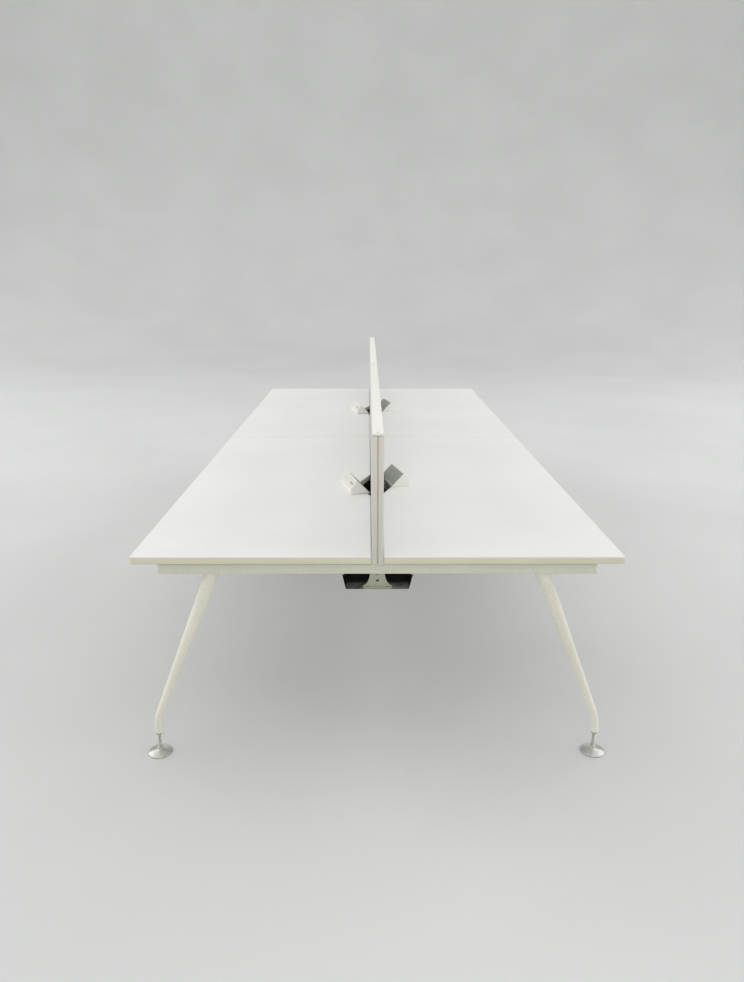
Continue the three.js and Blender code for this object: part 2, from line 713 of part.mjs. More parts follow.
// Screen panels, caps and bottom rails
const PANEL_FROM = POST_MIDDLE_Y - POST_CHANNEL + SCREEN_FIT;
const PANEL_TO = POST_INNER_Y + POST_CHANNEL - SCREEN_FIT;
const PANEL_LOW = POST_FOOT_Z + SCREEN_BOTTOM_SKIN + SEAT;
const PANEL_HIGH = SCREEN_TOP - SCREEN_CAP_SKIN - SEAT;

function screenPanel() {
  const height = PANEL_HIGH - PANEL_LOW;
  const front = rectangle(SCREEN_PANEL, height, POST_ROUND);
  return alongY(front, PANEL_FROM, PANEL_TO).translate(0, 0, (PANEL_LOW + PANEL_HIGH) / 2);
}

function screenCap() {
  const half = SCREEN_WIDTH / 2;
  const low = SCREEN_TOP - SCREEN_CAP_HEIGHT;
  const section = outline([
    [-half, low],
    [half, low],
    [half, SCREEN_TOP, SCREEN_CAP_ROUND],
    [-half, SCREEN_TOP, SCREEN_CAP_ROUND],
  ]);
  const bar = alongY(section, SCREEN_SEAM / 2, POST_OUTER_Y);
  const roof = SCREEN_TOP - SCREEN_CAP_SKIN;
  const channel = rectangle(2 * CHANNEL_HALF, 2 * (roof - low));
  return cut(bar, alongY(channel, PANEL_FROM - SCREEN_FIT, PANEL_TO + SCREEN_FIT).translate(0, 0, low));
}

function screenBottomRail() {
  const half = SCREEN_WIDTH / 2;
  const lip = POST_FOOT_Z + SCREEN_BOTTOM_RAIL;
  const floor = POST_FOOT_Z + SCREEN_BOTTOM_SKIN;
  const section = outline([
    [-half, POST_FOOT_Z],
    [half, POST_FOOT_Z],
    [half, lip],
    [CHANNEL_HALF, lip],
    [CHANNEL_HALF, floor],
    [-CHANNEL_HALF, floor],
    [-CHANNEL_HALF, lip],
    [-half, lip],
  ]);
  return alongY(section, POST_MIDDLE_Y + SEAT, POST_INNER_Y - SEAT);
}

for (const [endName, end] of ENDS) {
  const turn = end > 0 ? 0 : Math.PI;
  piece(`screen_panel_${endName}`, screenPanel().rotateZ(turn), SCREEN_CLOTH);
  piece(`screen_cap_${endName}`, screenCap().rotateZ(turn), CAP_PAINT);
  piece(`screen_bottom_rail_${endName}`, screenBottomRail().rotateZ(turn), POST_PAINT);
}

// Power units. In a unit's own frame +X faces the user, Y runs along the ridge and z = 0 is the
// top's face. The cross-section's corners are points [x, z].
const UNIT_FRONT = UNIT_DEPTH / 2;
const UNIT_BACK = -UNIT_DEPTH / 2;
const RIDGE = new THREE.Vector2(UNIT_FRONT - UNIT_RIDGE, UNIT_HEIGHT);
const LIP = new THREE.Vector2(UNIT_FRONT, UNIT_LIP);
const TAIL = new THREE.Vector2(UNIT_BACK, SEAT);
const FRONT_SLOPE = RIDGE.clone().sub(LIP).normalize();
const BACK_SLOPE = TAIL.clone().sub(RIDGE).normalize();
const FRONT_NORMAL = new THREE.Vector2(FRONT_SLOPE.y, -FRONT_SLOPE.x);
const BACK_NORMAL = new THREE.Vector2(BACK_SLOPE.y, -BACK_SLOPE.x);
const TOP_EDGE_X = UNIT_BACK + UNIT_OVERHANG; // where the top's slanted edge lies
const TAB_FACE_X = TOP_EDGE_X - CLAMP_EDGE_GAP;
const INNER_LENGTH = UNIT_LENGTH - 2 * UNIT_CHEEK;
const BACK_PLATE_HALF = INNER_LENGTH / 2 - SEAT;
const TAB_Y = BACK_PLATE_HALF - CLAMP_TAB_INSET - CLAMP_TAB_WIDTH / 2;
const FRONT_FACE = RIDGE.distanceTo(LIP);

// A point of the cross-section: a distance along a slope from a corner, and a depth below it.
function under(corner, slope, distance, normal, depth) {
  return corner.clone().addScaledVector(slope, distance).addScaledVector(normal, -depth);
}

// The point of the back slope, at a depth below it, that lies at a given x.
function backSlopeAt(x, depth) {
  const start = RIDGE.clone().addScaledVector(BACK_NORMAL, -depth);
  return start.addScaledVector(BACK_SLOPE, (x - start.x) / BACK_SLOPE.x);
}

function unitCheek(from) {
  const shape = outline([
    [TAIL.x, TAIL.y],
    [UNIT_FRONT, SEAT],
    [LIP.x, LIP.y, UNIT_CORNER_ROUND],
    [RIDGE.x, RIDGE.y, UNIT_RIDGE_ROUND],
  ]);
  return alongY(shape, from, from + UNIT_CHEEK);
}

function unitBody() {
  const recess = SOCKET_PLATE + SEAT;
  const backRecess = CLAMP_SHEET + SEAT;
  const backEnd = backSlopeAt(TAB_FACE_X + SEAT, backRecess);
  const plateTop = FRONT_FACE - UNIT_RIDGE_WIDTH;
  const points = [
    [backEnd.x, SEAT],
    [UNIT_FRONT, SEAT],
    LIP.toArray(),
    under(LIP, FRONT_SLOPE, 0, FRONT_NORMAL, recess).toArray(),
    under(LIP, FRONT_SLOPE, plateTop, FRONT_NORMAL, recess).toArray(),
    under(LIP, FRONT_SLOPE, plateTop, FRONT_NORMAL, 0).toArray(),
    RIDGE.toArray(),
    under(RIDGE, BACK_SLOPE, UNIT_RIDGE_WIDTH, BACK_NORMAL, 0).toArray(),
    under(RIDGE, BACK_SLOPE, UNIT_RIDGE_WIDTH, BACK_NORMAL, backRecess).toArray(),
    backEnd.toArray(),
  ];
  points[6].push(UNIT_RIDGE_ROUND);
  const overlap = UNIT_CHEEK / 2;
  return alongY(outline(points), -INNER_LENGTH / 2 - overlap, INNER_LENGTH / 2 + overlap);
}

function unitHousing() {
  return join(unitBody(), unitCheek(-UNIT_LENGTH / 2), unitCheek(UNIT_LENGTH / 2 - UNIT_CHEEK));
}

// The socket plate lies flat in the plan here, and its group tilts it into the front slope.
function socketPlate() {
  const width = FRONT_FACE - UNIT_RIDGE_WIDTH - 2 * SEAT;
  const length = INNER_LENGTH - 2 * SEAT;
  return raise(rectangle(width, length, SOCKET_PLATE_ROUND), -SOCKET_PLATE, 0, SOCKET_PLATE_BEVEL);
}

function clampPlate() {
  const start = UNIT_RIDGE_WIDTH + SEAT;
  const outerBend = backSlopeAt(TAB_FACE_X - CLAMP_SHEET, 0);
  const innerBend = backSlopeAt(TAB_FACE_X, CLAMP_SHEET);
  const slope = [
    under(RIDGE, BACK_SLOPE, start, BACK_NORMAL, 0).toArray(),
    outerBend.toArray(),
    innerBend.toArray(),
    under(RIDGE, BACK_SLOPE, start, BACK_NORMAL, CLAMP_SHEET).toArray(),
  ];
  const jawEnd = TAB_FACE_X + CLAMP_JAW;
  const tab = [
    slope[0],
    slope[1],
    [TAB_FACE_X - CLAMP_SHEET, -CLAMP_OPENING - CLAMP_SHEET, 2 * CLAMP_SHEET],
    [jawEnd, -CLAMP_OPENING - CLAMP_SHEET],
    [jawEnd, -CLAMP_OPENING],
    [TAB_FACE_X, -CLAMP_OPENING, CLAMP_SHEET],
    slope[2],
    slope[3],
  ];
  const wide = alongY(outline(slope), -BACK_PLATE_HALF, BACK_PLATE_HALF);
  const narrow = alongY(outline(tab), TAB_Y - CLAMP_TAB_WIDTH / 2, TAB_Y + CLAMP_TAB_WIDTH / 2);
  const hole = drill(CLAMP_SCREW_DIAMETER + 2 * SEAT, -2 * CLAMP_OPENING, 0, 16);
  hole.translate(TOP_EDGE_X + CLAMP_SCREW_REACH, TAB_Y, -TOP_THICKNESS);
  return cut(join(wide, narrow), hole);
}

// Thumb screw with a pad under the top and a knob under the jaw.
function clampScrew() {
  const stem = CLAMP_SCREW_DIAMETER / 2;
  const pad = CLAMP_PAD_DIAMETER / 2;
  const knob = CLAMP_KNOB_DIAMETER / 2;
  const padTop = -TOP_THICKNESS - SEAT;
  const knobTop = -CLAMP_OPENING - CLAMP_SHEET - SEAT;
  return turned(
    [
      [0, knobTop - CLAMP_KNOB],
      [knob - CLAMP_KNOB_ROUND, knobTop - CLAMP_KNOB],
      [knob, knobTop - CLAMP_KNOB + CLAMP_KNOB_ROUND],
      [knob, knobTop - CLAMP_KNOB_ROUND],
      [knob - CLAMP_KNOB_ROUND, knobTop],
      [stem, knobTop],
      [stem, padTop - CLAMP_PAD],
      [pad, padTop - CLAMP_PAD],
      [pad, padTop],
      [0, padTop],
    ],
    16,
  );
}

// A unit turned by its own slant. The leading corner of its clamp's tab just clears the scallop's
// slanted edge, at the middle of that edge.
function powerUnit(name, side, scallopY) {
  const run = (SCALLOP_MOUTH - SCALLOP_FLOOR) / 2;
  const edgeSlant = Math.atan2(SCALLOP_DEPTH, run);
  const slant = THREE.MathUtils.degToRad(UNIT_SLANT);
  const lead = (CLAMP_TAB_WIDTH / 2) * Math.abs(Math.sin(edgeSlant - slant));
  const gap = CLAMP_EDGE_GAP + lead;
  const tabX = CENTRE_GAP / 2 + SCALLOP_DEPTH / 2 - gap * Math.cos(edgeSlant);
  const tabY = (SCALLOP_MOUTH + SCALLOP_FLOOR) / 4 - gap * Math.sin(edgeSlant);
  const x = tabX - TAB_FACE_X * Math.cos(slant) + TAB_Y * Math.sin(slant);
  const y = tabY - TAB_FACE_X * Math.sin(slant) - TAB_Y * Math.cos(slant);
  const unit = new THREE.Group();
  unit.position.set(side * x, scallopY + side * y, TOP_HEIGHT);
  unit.rotation.z = side > 0 ? slant : slant + Math.PI;
  bench.add(unit);
  piece(`power_housing_${name}`, unitHousing(), WHITE_PLASTIC, unit);
  const tilt = new THREE.Group();
  const middle = under(LIP, FRONT_SLOPE, (FRONT_FACE - UNIT_RIDGE_WIDTH) / 2, FRONT_NORMAL, 0);
  tilt.position.set(middle.x, 0, middle.y);
  tilt.rotation.y = Math.atan2(FRONT_NORMAL.x, FRONT_NORMAL.y);
  unit.add(tilt);
  piece(`power_sockets_${name}`, socketPlate(), PLATE_PLASTIC, tilt);
  piece(`power_clamp_${name}`, clampPlate(), GREY_STEEL, unit);
  const screw = piece(`power_clamp_screw_${name}`, clampScrew(), SCREW_STEEL, unit);
  screw.position.set(TOP_EDGE_X + CLAMP_SCREW_REACH, TAB_Y, 0);
}

for (const [endName, end] of ENDS) {
  for (const [sideName, side] of SIDES) {
    powerUnit(`${endName}_${sideName}`, side, scallopMiddle(end));
  }
}

export default bench;
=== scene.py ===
import math

import bpy
import numpy as np
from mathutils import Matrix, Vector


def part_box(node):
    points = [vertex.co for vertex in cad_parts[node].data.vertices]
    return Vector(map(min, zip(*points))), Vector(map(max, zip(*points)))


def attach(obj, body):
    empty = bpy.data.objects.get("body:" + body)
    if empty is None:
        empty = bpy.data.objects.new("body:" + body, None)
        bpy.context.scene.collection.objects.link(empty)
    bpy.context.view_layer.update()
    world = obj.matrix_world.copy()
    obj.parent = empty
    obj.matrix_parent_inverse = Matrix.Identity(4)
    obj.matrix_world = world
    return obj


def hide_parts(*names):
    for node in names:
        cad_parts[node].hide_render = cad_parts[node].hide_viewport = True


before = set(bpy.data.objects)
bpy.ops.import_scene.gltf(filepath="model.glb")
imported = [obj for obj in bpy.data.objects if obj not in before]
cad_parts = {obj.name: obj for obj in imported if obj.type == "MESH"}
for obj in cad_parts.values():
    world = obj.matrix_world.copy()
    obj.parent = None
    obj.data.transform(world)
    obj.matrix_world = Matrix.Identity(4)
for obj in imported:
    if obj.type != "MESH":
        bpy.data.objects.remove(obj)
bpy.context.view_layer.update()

# Cross rails: aluminium castings across the bench, one at each end and one under the joint of the
# tops. Their ends are hollowed to a cove above a lip, a rebate leaves a dark line under the tops,
# and they are powder coated in a darker copy of the frame's warm white, as painted shade under
# the tops.
FRAMES = ("near", "middle", "far")
RAIL_COVE = 0.004
RAIL_LIP = 0.003
RAIL_END_POINTS = 17
RAIL_EDGE = 0.0015
REBATE_TALL = 0.003
REBATE_DEEP = 0.006
BROKEN_EDGE = 0.0003  # the rounding of an edge that is only broken
FRONT = (0, 2, 1)  # an outline in x and z, carried along y


def quarter_turn(steps):
    """Angles from 0 to a quarter turn."""
    return np.linspace(0, np.pi / 2, steps)


def inset(outline, distance):
    """An outline moved inwards: each corner goes along the sum of its two edges' normals over
    1 + the cosine between them, which keeps the edges parallel to themselves."""
    edge = np.roll(outline, -1, axis=0) - outline
    normal = edge[:, ::-1] * (1, -1) / np.linalg.norm(edge, axis=1, keepdims=True)
    before = np.roll(normal, 1, axis=0)
    reach = (normal + before) / (1 + (normal * before).sum(axis=1, keepdims=True))
    x, y = outline.T
    turn = np.sign((x * np.roll(y, -1) - y * np.roll(x, -1)).sum())
    return outline - turn * distance * reach


def carried(outline, depths, heights):
    """A skin with a ring for each depth and height: the outline, inset by the one, at the other."""
    count = len(outline)
    pairs = zip(depths, heights)
    return np.array([np.column_stack((inset(outline, d), np.full(count, h))) for d, h in pairs])


def rounded_wall(low, high, edge, steps=5):
    """Depths and heights up a wall whose two edges are quarter circles: the depth is
    edge (1 - sin a) at edge (1 - cos a) from the nearer face."""
    a = quarter_turn(steps)
    depth = edge * (1 - np.sin(a))
    rise = edge * (1 - np.cos(a))
    return np.concatenate((depth, depth[::-1])), np.concatenate((low + rise, high - rise[::-1]))


def slab(outline, low, high, edge, axes=(0, 1, 2), steps=5):
    """An outline carried from low to high, with a rounded wall."""
    return carried(outline, *rounded_wall(low, high, edge, steps))[..., axes]


def point_numbers(skin):
    """The number of each point of a skin, row by row."""
    return np.arange(skin.shape[0] * skin.shape[1]).reshape(skin.shape[:2])


def strips(numbers):
    """Quads between neighbouring rows of point numbers, each row closed on itself."""
    near, far = numbers[:-1], numbers[1:]
    return np.stack((near, np.roll(near, -1, 1), np.roll(far, -1, 1), far), axis=-1).reshape(-1, 4)


def add_piece(name, points, faces, crease=35):
    """A smooth mesh of the points and faces, sharp where faces meet at more than crease degrees."""
    mesh = bpy.data.meshes.new(name)
    mesh.from_pydata(points, [], faces)
    mesh.shade_smooth()
    mesh.set_sharp_from_angle(angle=math.radians(crease))
    piece = bpy.data.objects.new(name, mesh)
    bpy.context.scene.collection.objects.link(piece)
    return piece


def surface(name, *skins, loop=False, crease=35):
    """A piece of closed skins. Each row of a skin is a ring of points, and quads join neighbouring
    rows. loop joins the last row to the first, or else one face fills each end row. The sign of
    the volume, a sum of a . (b x c) over the faces, says whether they have to be turned round."""
    points = []
    faces = []
    start = 0
    for skin in skins:
        numbers = point_numbers(skin)
        if loop:
            numbers = np.concatenate((numbers, numbers[:1]))
        quads = strips(numbers)
        flat = skin.reshape(-1, 3)
        a, b, c, d = np.moveaxis((flat - flat.mean(axis=0))[quads], 1, 0)
        volume = (a * (np.cross(b, c) + np.cross(c, d))).sum()
        walls = (start + quads).tolist()
        if not loop:
            walls += [(start + numbers[0, ::-1]).tolist(), (start + numbers[-1]).tolist()]
        faces += walls if volume > 0 else [wall[::-1] for wall in walls]
        points.append(flat)
        start += len(flat)
    return add_piece(name, np.concatenate(points), faces, crease)


def fit(piece, finish, body="frame", stands_for=()):
    """Gives a piece its finish, and says which body carries it and which parts it stands for."""
    piece.data.materials.append(finish)
    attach(piece, body)
    if stands_for:
        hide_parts(*stands_for)


class Shade:
    """One output socket of a material. Expressions on shades and numbers add Math nodes."""

    def __init__(self, socket):
        self.socket = socket

    def node(self, kind, settings=None, inputs=None, output=0):
        """Adds a node: its settings are set first, then the value or link of each input."""
        tree = self.socket.id_data
        made = tree.nodes.new(kind)
        for name, value in (settings or {}).items():
            setattr(made, name, value)
        for name, value in (inputs or {}).items():
            if isinstance(value, Shade):
                tree.links.new(value.socket, made.inputs[name])
            else:
                made.inputs[name].default_value = value
        return Shade(made.outputs[output])

    def math(self, operation, *others):
        """A Math node on this and the others."""
        return self.node("ShaderNodeMath", {"operation": operation}, dict(enumerate((self, *others))))

    def __add__(self, other):
        return self.math("ADD", other)

    def __rsub__(self, other):
        return self.math("MULTIPLY_ADD", -1, other)

    def __mul__(self, other):
        return self.math("MULTIPLY", other)

    __radd__ = __add__
    __rmul__ = __mul__

    def noise(self, scale, detail=2, rough=0.5):
        """Cloudy noise from 0 to 1, with scale waves to the metre."""
        inputs = {"Vector": self, "Scale": scale, "Detail": detail, "Roughness": rough}
        return self.node("ShaderNodeTexNoise", None, inputs)

    def stretch(self, x, y, z):
        """Coordinates multiplied along each axis, so that a pattern is drawn out or packed."""
        return self.node("ShaderNodeVectorMath", {"operation": "MULTIPLY"}, {0: self, 1: (x, y, z)})

    def along(self, axis):
        """One coordinate of a place."""
        return self.node("ShaderNodeSeparateXYZ", None, {0: self}, axis)

    def wave(self, length):
        """A sine from -1 to 1 that repeats once in each length."""
        return (self * (2 * math.pi / length)).math("SINE")

    def rise(self, low, high):
        """0 below low, 1 above high, and a smooth step between."""
        settings = {"interpolation_type": "SMOOTHSTEP"}
        return self.node("ShaderNodeMapRange", settings, {0: self, 1: low, 2: high})

    def blend(self, low, high):
        """The colour low where this is 0, going to the colour high where it is 1."""
        return self.node("ShaderNodeMix", {"data_type": "RGBA"}, {0: self, 6: low, 7: high}, 2)

    def bump(self, distance, strength):
        """A normal bent by this height, which counts distance metres for each unit."""
        inputs = {"Strength": strength, "Distance": distance, "Height": self}
        return self.node("ShaderNodeBump", None, inputs)

    def feed(self, shader, name):
        """Links this to one of the shader's inputs."""
        self.socket.id_data.links.new(self.socket, shader.inputs[name])


def tint(red, green, blue):
    """A colour read from 0 to 255 on screen, as the linear value that a shader takes, by the usual
    screen curve: straight near black, and a power of 2.4 above."""
    screen = np.array((red, green, blue)) / 255
    linear = np.where(screen <= 0.04045, screen / 12.92, ((screen + 0.055) / 1.055) ** 2.4)
    return (*linear.tolist(), 1.0)


def new_finish(name, **steady):
    """A material, its shader with the steady inputs set, and a shade of the place on the piece."""
    finish = bpy.data.materials.new(name)
    finish.use_nodes = True
    nodes = finish.node_tree.nodes
    shader = nodes["Principled BSDF"]
    for key, value in steady.items():
        shader.inputs[key.replace("_", " ")].default_value = value
    place = Shade(nodes.new("ShaderNodeTexCoord").outputs["Object"])
    return finish, shader, place


def powder_coat(name, colour, shaded, fleck):
    """Baked powder: orange peel about 1.5 mm across, colour mottled at some millimetres and cloudy
    beyond, and a few small dark flecks."""
    finish, shader, place = new_finish(name)
    peel = place.noise(650, detail=3)
    mottle = place.noise(190, detail=2)
    cloud = 0.5 * mottle + 0.5 * place.noise(3.5, detail=3)
    spots = place.node("ShaderNodeTexVoronoi", None, {"Vector": place, "Scale": 24})
    flecks = (1 - spots.rise(0.014, 0.03)) * place.noise(11).rise(0.55, 0.6)
    paint = cloud.rise(0.34, 0.66).blend(shaded, colour)
    flecks.blend(paint, fleck).feed(shader, "Base Color")
    (0.4 + 0.12 * cloud).feed(shader, "Roughness")
    peel.bump(0.00025, 0.35).feed(shader, "Normal")
    return finish


def rail_outline(half, lip, low, high):
    """A rail's front view: flat faces, and ends hollowed by a parabola above a lip,
    x = half + lip (1 - t) - 4 cove t (1 - t) while z climbs from low to high with t."""
    t = np.linspace(0, 1, RAIL_END_POINTS)
    end = np.column_stack((half + (lip - 4 * RAIL_COVE * t) * (1 - t), low + (high - low) * t))
    return np.concatenate((end, end[::-1] * (-1, 1)))


FRAME_FLECK = tint(120, 116, 104)
# Painted shade: the rails' coat is written darker than the legs' warm white, for the shadow under the
# tops.
rail_coat_painted_shade = powder_coat("warm_white_rail_coat", tint(217, 216, 199), tint(208, 207, 189), FRAME_FLECK)
for row in FRAMES:
    node = f"cross_rail_{row}"
    low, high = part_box(node)
    step = high[2] - REBATE_TALL
    bar = rail_outline(high[0], RAIL_LIP, low[2], step)
    neck = rail_outline(high[0] - REBATE_DEEP, 0, step, high[2])
    lower = slab(bar, low[1], high[1], RAIL_EDGE, FRONT)
    upper = slab(neck, low[1] + REBATE_DEEP, high[1] - REBATE_DEEP, BROKEN_EDGE, FRONT)
    fit(surface(f"rail_casting_{row}", lower, upper), rail_coat_painted_shade, stands_for=[node])

# Legs: cast aluminium, splayed out from the rail to a knee and upright below it. Each tapers from
# an oval under the rail to a round shank, ends in a rounded boss, and is bored for the foot's stud.
SIDES = {"left": -1, "right": 1}
LEGS = [f"{row}_{side}" for row in FRAMES for side in SIDES]
LEG_TOP_X = 0.539
LEG_KNEE = 0.134
LEG_BEND = 0.170
LEG_TOP_WIDTH = 0.053
LEG_TOP_THICKNESS = 0.044
LEG_KNEE_WIDTH = 0.025
LEG_END_WIDTH = 0.028
LEG_END_ROUND = 0.006
LEG_FLARE = 0.006
STUD_BORE = 0.0053
STUD_BORE_DEPTH = 0.042
BORE_CHAMFER = 0.0008
LEG_SIDES = 56
LEG_ROUND_ROWS = 7
SHANK_ROWS = 30
UPPER_ROWS = 16


def turns(sides):
    """Angles once round, without the last."""
    return np.linspace(0, 2 * np.pi, sides, endpoint=False)


def leg_skin(foot_x, y, low, high):
    """Ovals stacked along the leg's line. The line leans by atan(run / rise), turns upright on an
    arc at the knee and is straight below it. Widths grow evenly from the knee to the rail and by
    a smooth step from the knee to the end. The end draws in and the top flares out on quarter
    circles, and the first rows line the bore. The foot's x says which side the leg leans to."""
    reach = abs(foot_x)
    lean = math.atan2(reach - LEG_TOP_X, high - LEG_KNEE)
    tangent = LEG_BEND * math.tan(lean / 2)
    bend_low = LEG_KNEE - tangent
    bend_high = LEG_KNEE + tangent * math.cos(lean)
    a = quarter_turn(LEG_ROUND_ROWS)
    boss = low + LEG_END_ROUND * (1 - np.cos(a))
    shank = np.linspace(low + LEG_END_ROUND, bend_high, SHANK_ROWS)[1:]
    upper = np.linspace(bend_high, high - LEG_FLARE, UPPER_ROWS)[1:]
    flare = high - LEG_FLARE * (1 - np.sin(a[1:]))
    z = np.concatenate((boss, shank, upper, flare))
    swell = np.zeros_like(z)
    swell[: len(boss)] = LEG_END_ROUND * (np.sin(a) - 1)
    swell[-len(flare) :] = LEG_FLARE * (1 - np.cos(a[1:]))
    arc = reach - LEG_BEND + np.sqrt(np.maximum(LEG_BEND**2 - (z - bend_low) ** 2, 0))
    leaning = reach - (z - LEG_KNEE) * math.tan(lean)
    x = np.where(z < bend_low, reach, np.where(z < bend_high, arc, leaning))
    climb = np.clip((z - LEG_KNEE) / (high - LEG_KNEE), 0, 1)
    fall = np.clip((LEG_KNEE - z) / (LEG_KNEE - low), 0, 1)
    neck = LEG_KNEE_WIDTH + (LEG_END_WIDTH - LEG_KNEE_WIDTH) * fall**2 * (3 - 2 * fall)
    half_x = (neck + (LEG_TOP_WIDTH - LEG_KNEE_WIDTH) * climb) / 2 + swell
    half_y = (neck + (LEG_TOP_THICKNESS - LEG_KNEE_WIDTH) * climb) / 2 + swell
    bore = np.array((STUD_BORE, STUD_BORE, STUD_BORE + BORE_CHAMFER))
    x = np.concatenate((np.full(len(bore), reach), x))[:, None]
    z = np.concatenate(((low + STUD_BORE_DEPTH, low + BORE_CHAMFER, low), z))[:, None]
    half_x = np.concatenate((bore, half_x))[:, None]
    half_y = np.concatenate((bore, half_y))[:, None]
    t = turns(LEG_SIDES)
    skin = (math.copysign(1, foot_x) * x + half_x * np.cos(t), y + half_y * np.sin(t), z)
    return np.stack(np.broadcast_arrays(*skin), axis=-1)


def middle_of(node):
    """The middle of a part's box."""
    return np.mean(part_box(node), axis=0)


frame_coat = powder_coat(
    "warm_white_powder_coat", tint(236, 233, 219), tint(224, 221, 207), FRAME_FLECK
)
for leg in LEGS:
    node = f"leg_{leg}"
    low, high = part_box(node)
    x, y, _ = middle_of(f"foot_{leg}")
    casting = surface(f"leg_casting_{leg}", leg_skin(x, y, low[2], high[2]))
    fit(casting, frame_coat, stands_for=[node])

# Levelling feet: dished steel discs, turned and chrome plated, each pressed on a zinc plated stud.
# The stud screws up into the leg, and a hex nut locks it against the leg's end.
FOOT_RIM = 0.004
DISC_RISE = 0.009
DISC_SWELL = 0.6  # share of the rise that is made half way in
DISC_CROWN = 0.06
DISC_FOOT_ROUND = 0.0012
DISC_RIM_ROUND = 0.0016
DISC_SIDES = 96
HUB_RADIUS = 0.009
HUB_TOP = 0.023
HUB_FILLET = 0.0025
HUB_ROUND = 0.0012
TURNING_PITCH = 0.0002244  # height from one turning ring to the next
STUD_RADIUS = 0.005
STUD_SUNK = 0.002
THREAD_PITCH = 0.0015
THREAD_DEPTH = 0.0009
THREAD_SIDES = 20
THREAD_STEPS = 5  # rows to the pitch
NUT_ACROSS = 0.017
NUT_TALL = 0.006
NUT_CONE = np.array((0.95, 1.06, 1.2))  # radii of the cut at a face, in half widths
NUT_CHAMFER = np.array((0, 0.08, 0.16))  # their heights, in shares of the nut's
FIT_GAP = 0.0003
UP = (0, 0, 1)


def rounded(corners, steps=6):
    """A path through corners (u, v, radius), each corner replaced by its fillet arc: the arc's
    centre lies on the corner's bisector, radius / sin(half the angle) away. A corner without a
    radius stays sharp, and so do the two ends of an open path."""
    path = []
    for i, (u, v, radius) in enumerate(corners):
        corner = np.array((u, v))
        if radius == 0:
            path.append(corner[None])
            continue
        back = np.array(corners[i - 1][:2]) - corner
        ahead = np.array(corners[(i + 1) % len(corners)][:2]) - corner
        back /= np.linalg.norm(back)
        ahead /= np.linalg.norm(ahead)
        half = math.acos(np.clip(back @ ahead, -1, 1)) / 2
        bisector = (back + ahead) / np.linalg.norm(back + ahead)
        centre = corner + bisector * radius / math.sin(half)
        start = corner + back * radius / math.tan(half) - centre
        end = corner + ahead * radius / math.tan(half) - centre
        first = math.atan2(start[1], start[0])
        sweep = (math.atan2(end[1], end[0]) - first + math.pi) % (2 * math.pi) - math.pi
        angle = first + sweep * np.linspace(0, 1, steps + 1)
        path.append(centre + radius * np.column_stack((np.cos(angle), np.sin(angle))))
    return np.concatenate(path)


def spun(radius, height, at, sides, axis=UP):
    """A skin round a line: at + radius (u cos t + v sin t) + height axis, with u and v square to
    the axis. Radius and height are columns, or whole grids where they change with the turn t."""
    axis = np.array(axis, float)
    u = np.roll(axis, 1)
    v = np.cross(axis, u)
    t = turns(sides)
    radius = np.asarray(radius)[..., None] * np.ones((sides, 1))
    height = np.asarray(height)[..., None] * np.ones((sides, 1))
    return at + radius * (np.outer(np.cos(t), u) + np.outer(np.sin(t), v)) + height * axis


def lathe(corners, at, sides, axis=UP):
    """A fillet path of (radius, height) spun round a line."""
    radius, height = rounded(corners).T[:, :, None]
    return spun(radius, height, at, sides, axis)


def screw_thread(radius, low, high, at):
    """A threaded rod: the radius dips by a cosine of height in pitches less the turn, so that the
    groove climbs one pitch each time round."""
    rows = round((high - low) / THREAD_PITCH * THREAD_STEPS)
    height = np.linspace(low, high, rows)[:, None]
    dip = 0.5 - 0.5 * np.cos(2 * np.pi * height / THREAD_PITCH - turns(THREAD_SIDES))
    return spun(radius - THREAD_DEPTH * dip, height, at, THREAD_SIDES)


def hexagon(across, sides=48):
    """Radius of a hexagon: half its width over the cosine of the angle from the nearest flat."""
    return across / 2 / np.cos((turns(sides) + np.pi / 6) % (np.pi / 3) - np.pi / 6)


def hex_nut(at):
    """A ring of section rows: a hexagon cut by cones at both faces, and a round bore inside."""
    cone = NUT_ACROSS / 2 * np.concatenate((NUT_CONE, NUT_CONE[::-1]))[:, None]
    radius = np.minimum(hexagon(NUT_ACROSS), cone)
    hole = np.full((1, radius.shape[1]), STUD_BORE)
    rise = np.concatenate(((0,), NUT_CHAMFER, 1 - NUT_CHAMFER[::-1], (1,)))[:, None]
    return spun(np.concatenate((hole, radius, hole)), NUT_TALL * rise, at, radius.shape[1])


def chrome_plate():
    """Satin plating over turning rings, which draw its gloss out into rays from the middle. Streaks
    run the same way: their noise depends on the direction from the middle alone."""
    finish, shader, place = new_finish(
        "chrome_plate", Metallic=1.0, Anisotropic=0.8, Anisotropic_Rotation=0.25
    )
    box = place.node("ShaderNodeTexCoord", output="Generated")
    from_middle = {0: box, 1: (1, 1, 0), 2: (-0.5, -0.5, 0)}
    flat = box.node("ShaderNodeVectorMath", {"operation": "MULTIPLY_ADD"}, from_middle)
    outwards = flat.node("ShaderNodeVectorMath", {"operation": "NORMALIZE"}, {0: flat})
    streak = outwards.noise(3.2, detail=4, rough=0.65).rise(0.52, 0.72)
    smudge = place.noise(60, detail=4, rough=0.6)
    streak.blend(tint(212, 210, 206), tint(176, 174, 171)).feed(shader, "Base Color")
    (0.34 + 0.16 * smudge).feed(shader, "Roughness")
    rings = place.along("Z").wave(TURNING_PITCH)
    rings.bump(0.000004, 0.6).feed(shader, "Normal")
    return finish


def zinc_plate():
    """Dull bright plating, cloudier and darker where grease stays on it."""
    finish, shader, place = new_finish("zinc_plate", Metallic=1.0)
    cloud = place.noise(140, detail=4)
    cloud.rise(0.3, 0.7).blend(tint(196, 197, 194), tint(150, 150, 146)).feed(shader, "Base Color")
    (0.28 + 0.25 * cloud).feed(shader, "Roughness")
    place.noise(1500).bump(0.0001, 0.3).feed(shader, "Normal")
    return finish


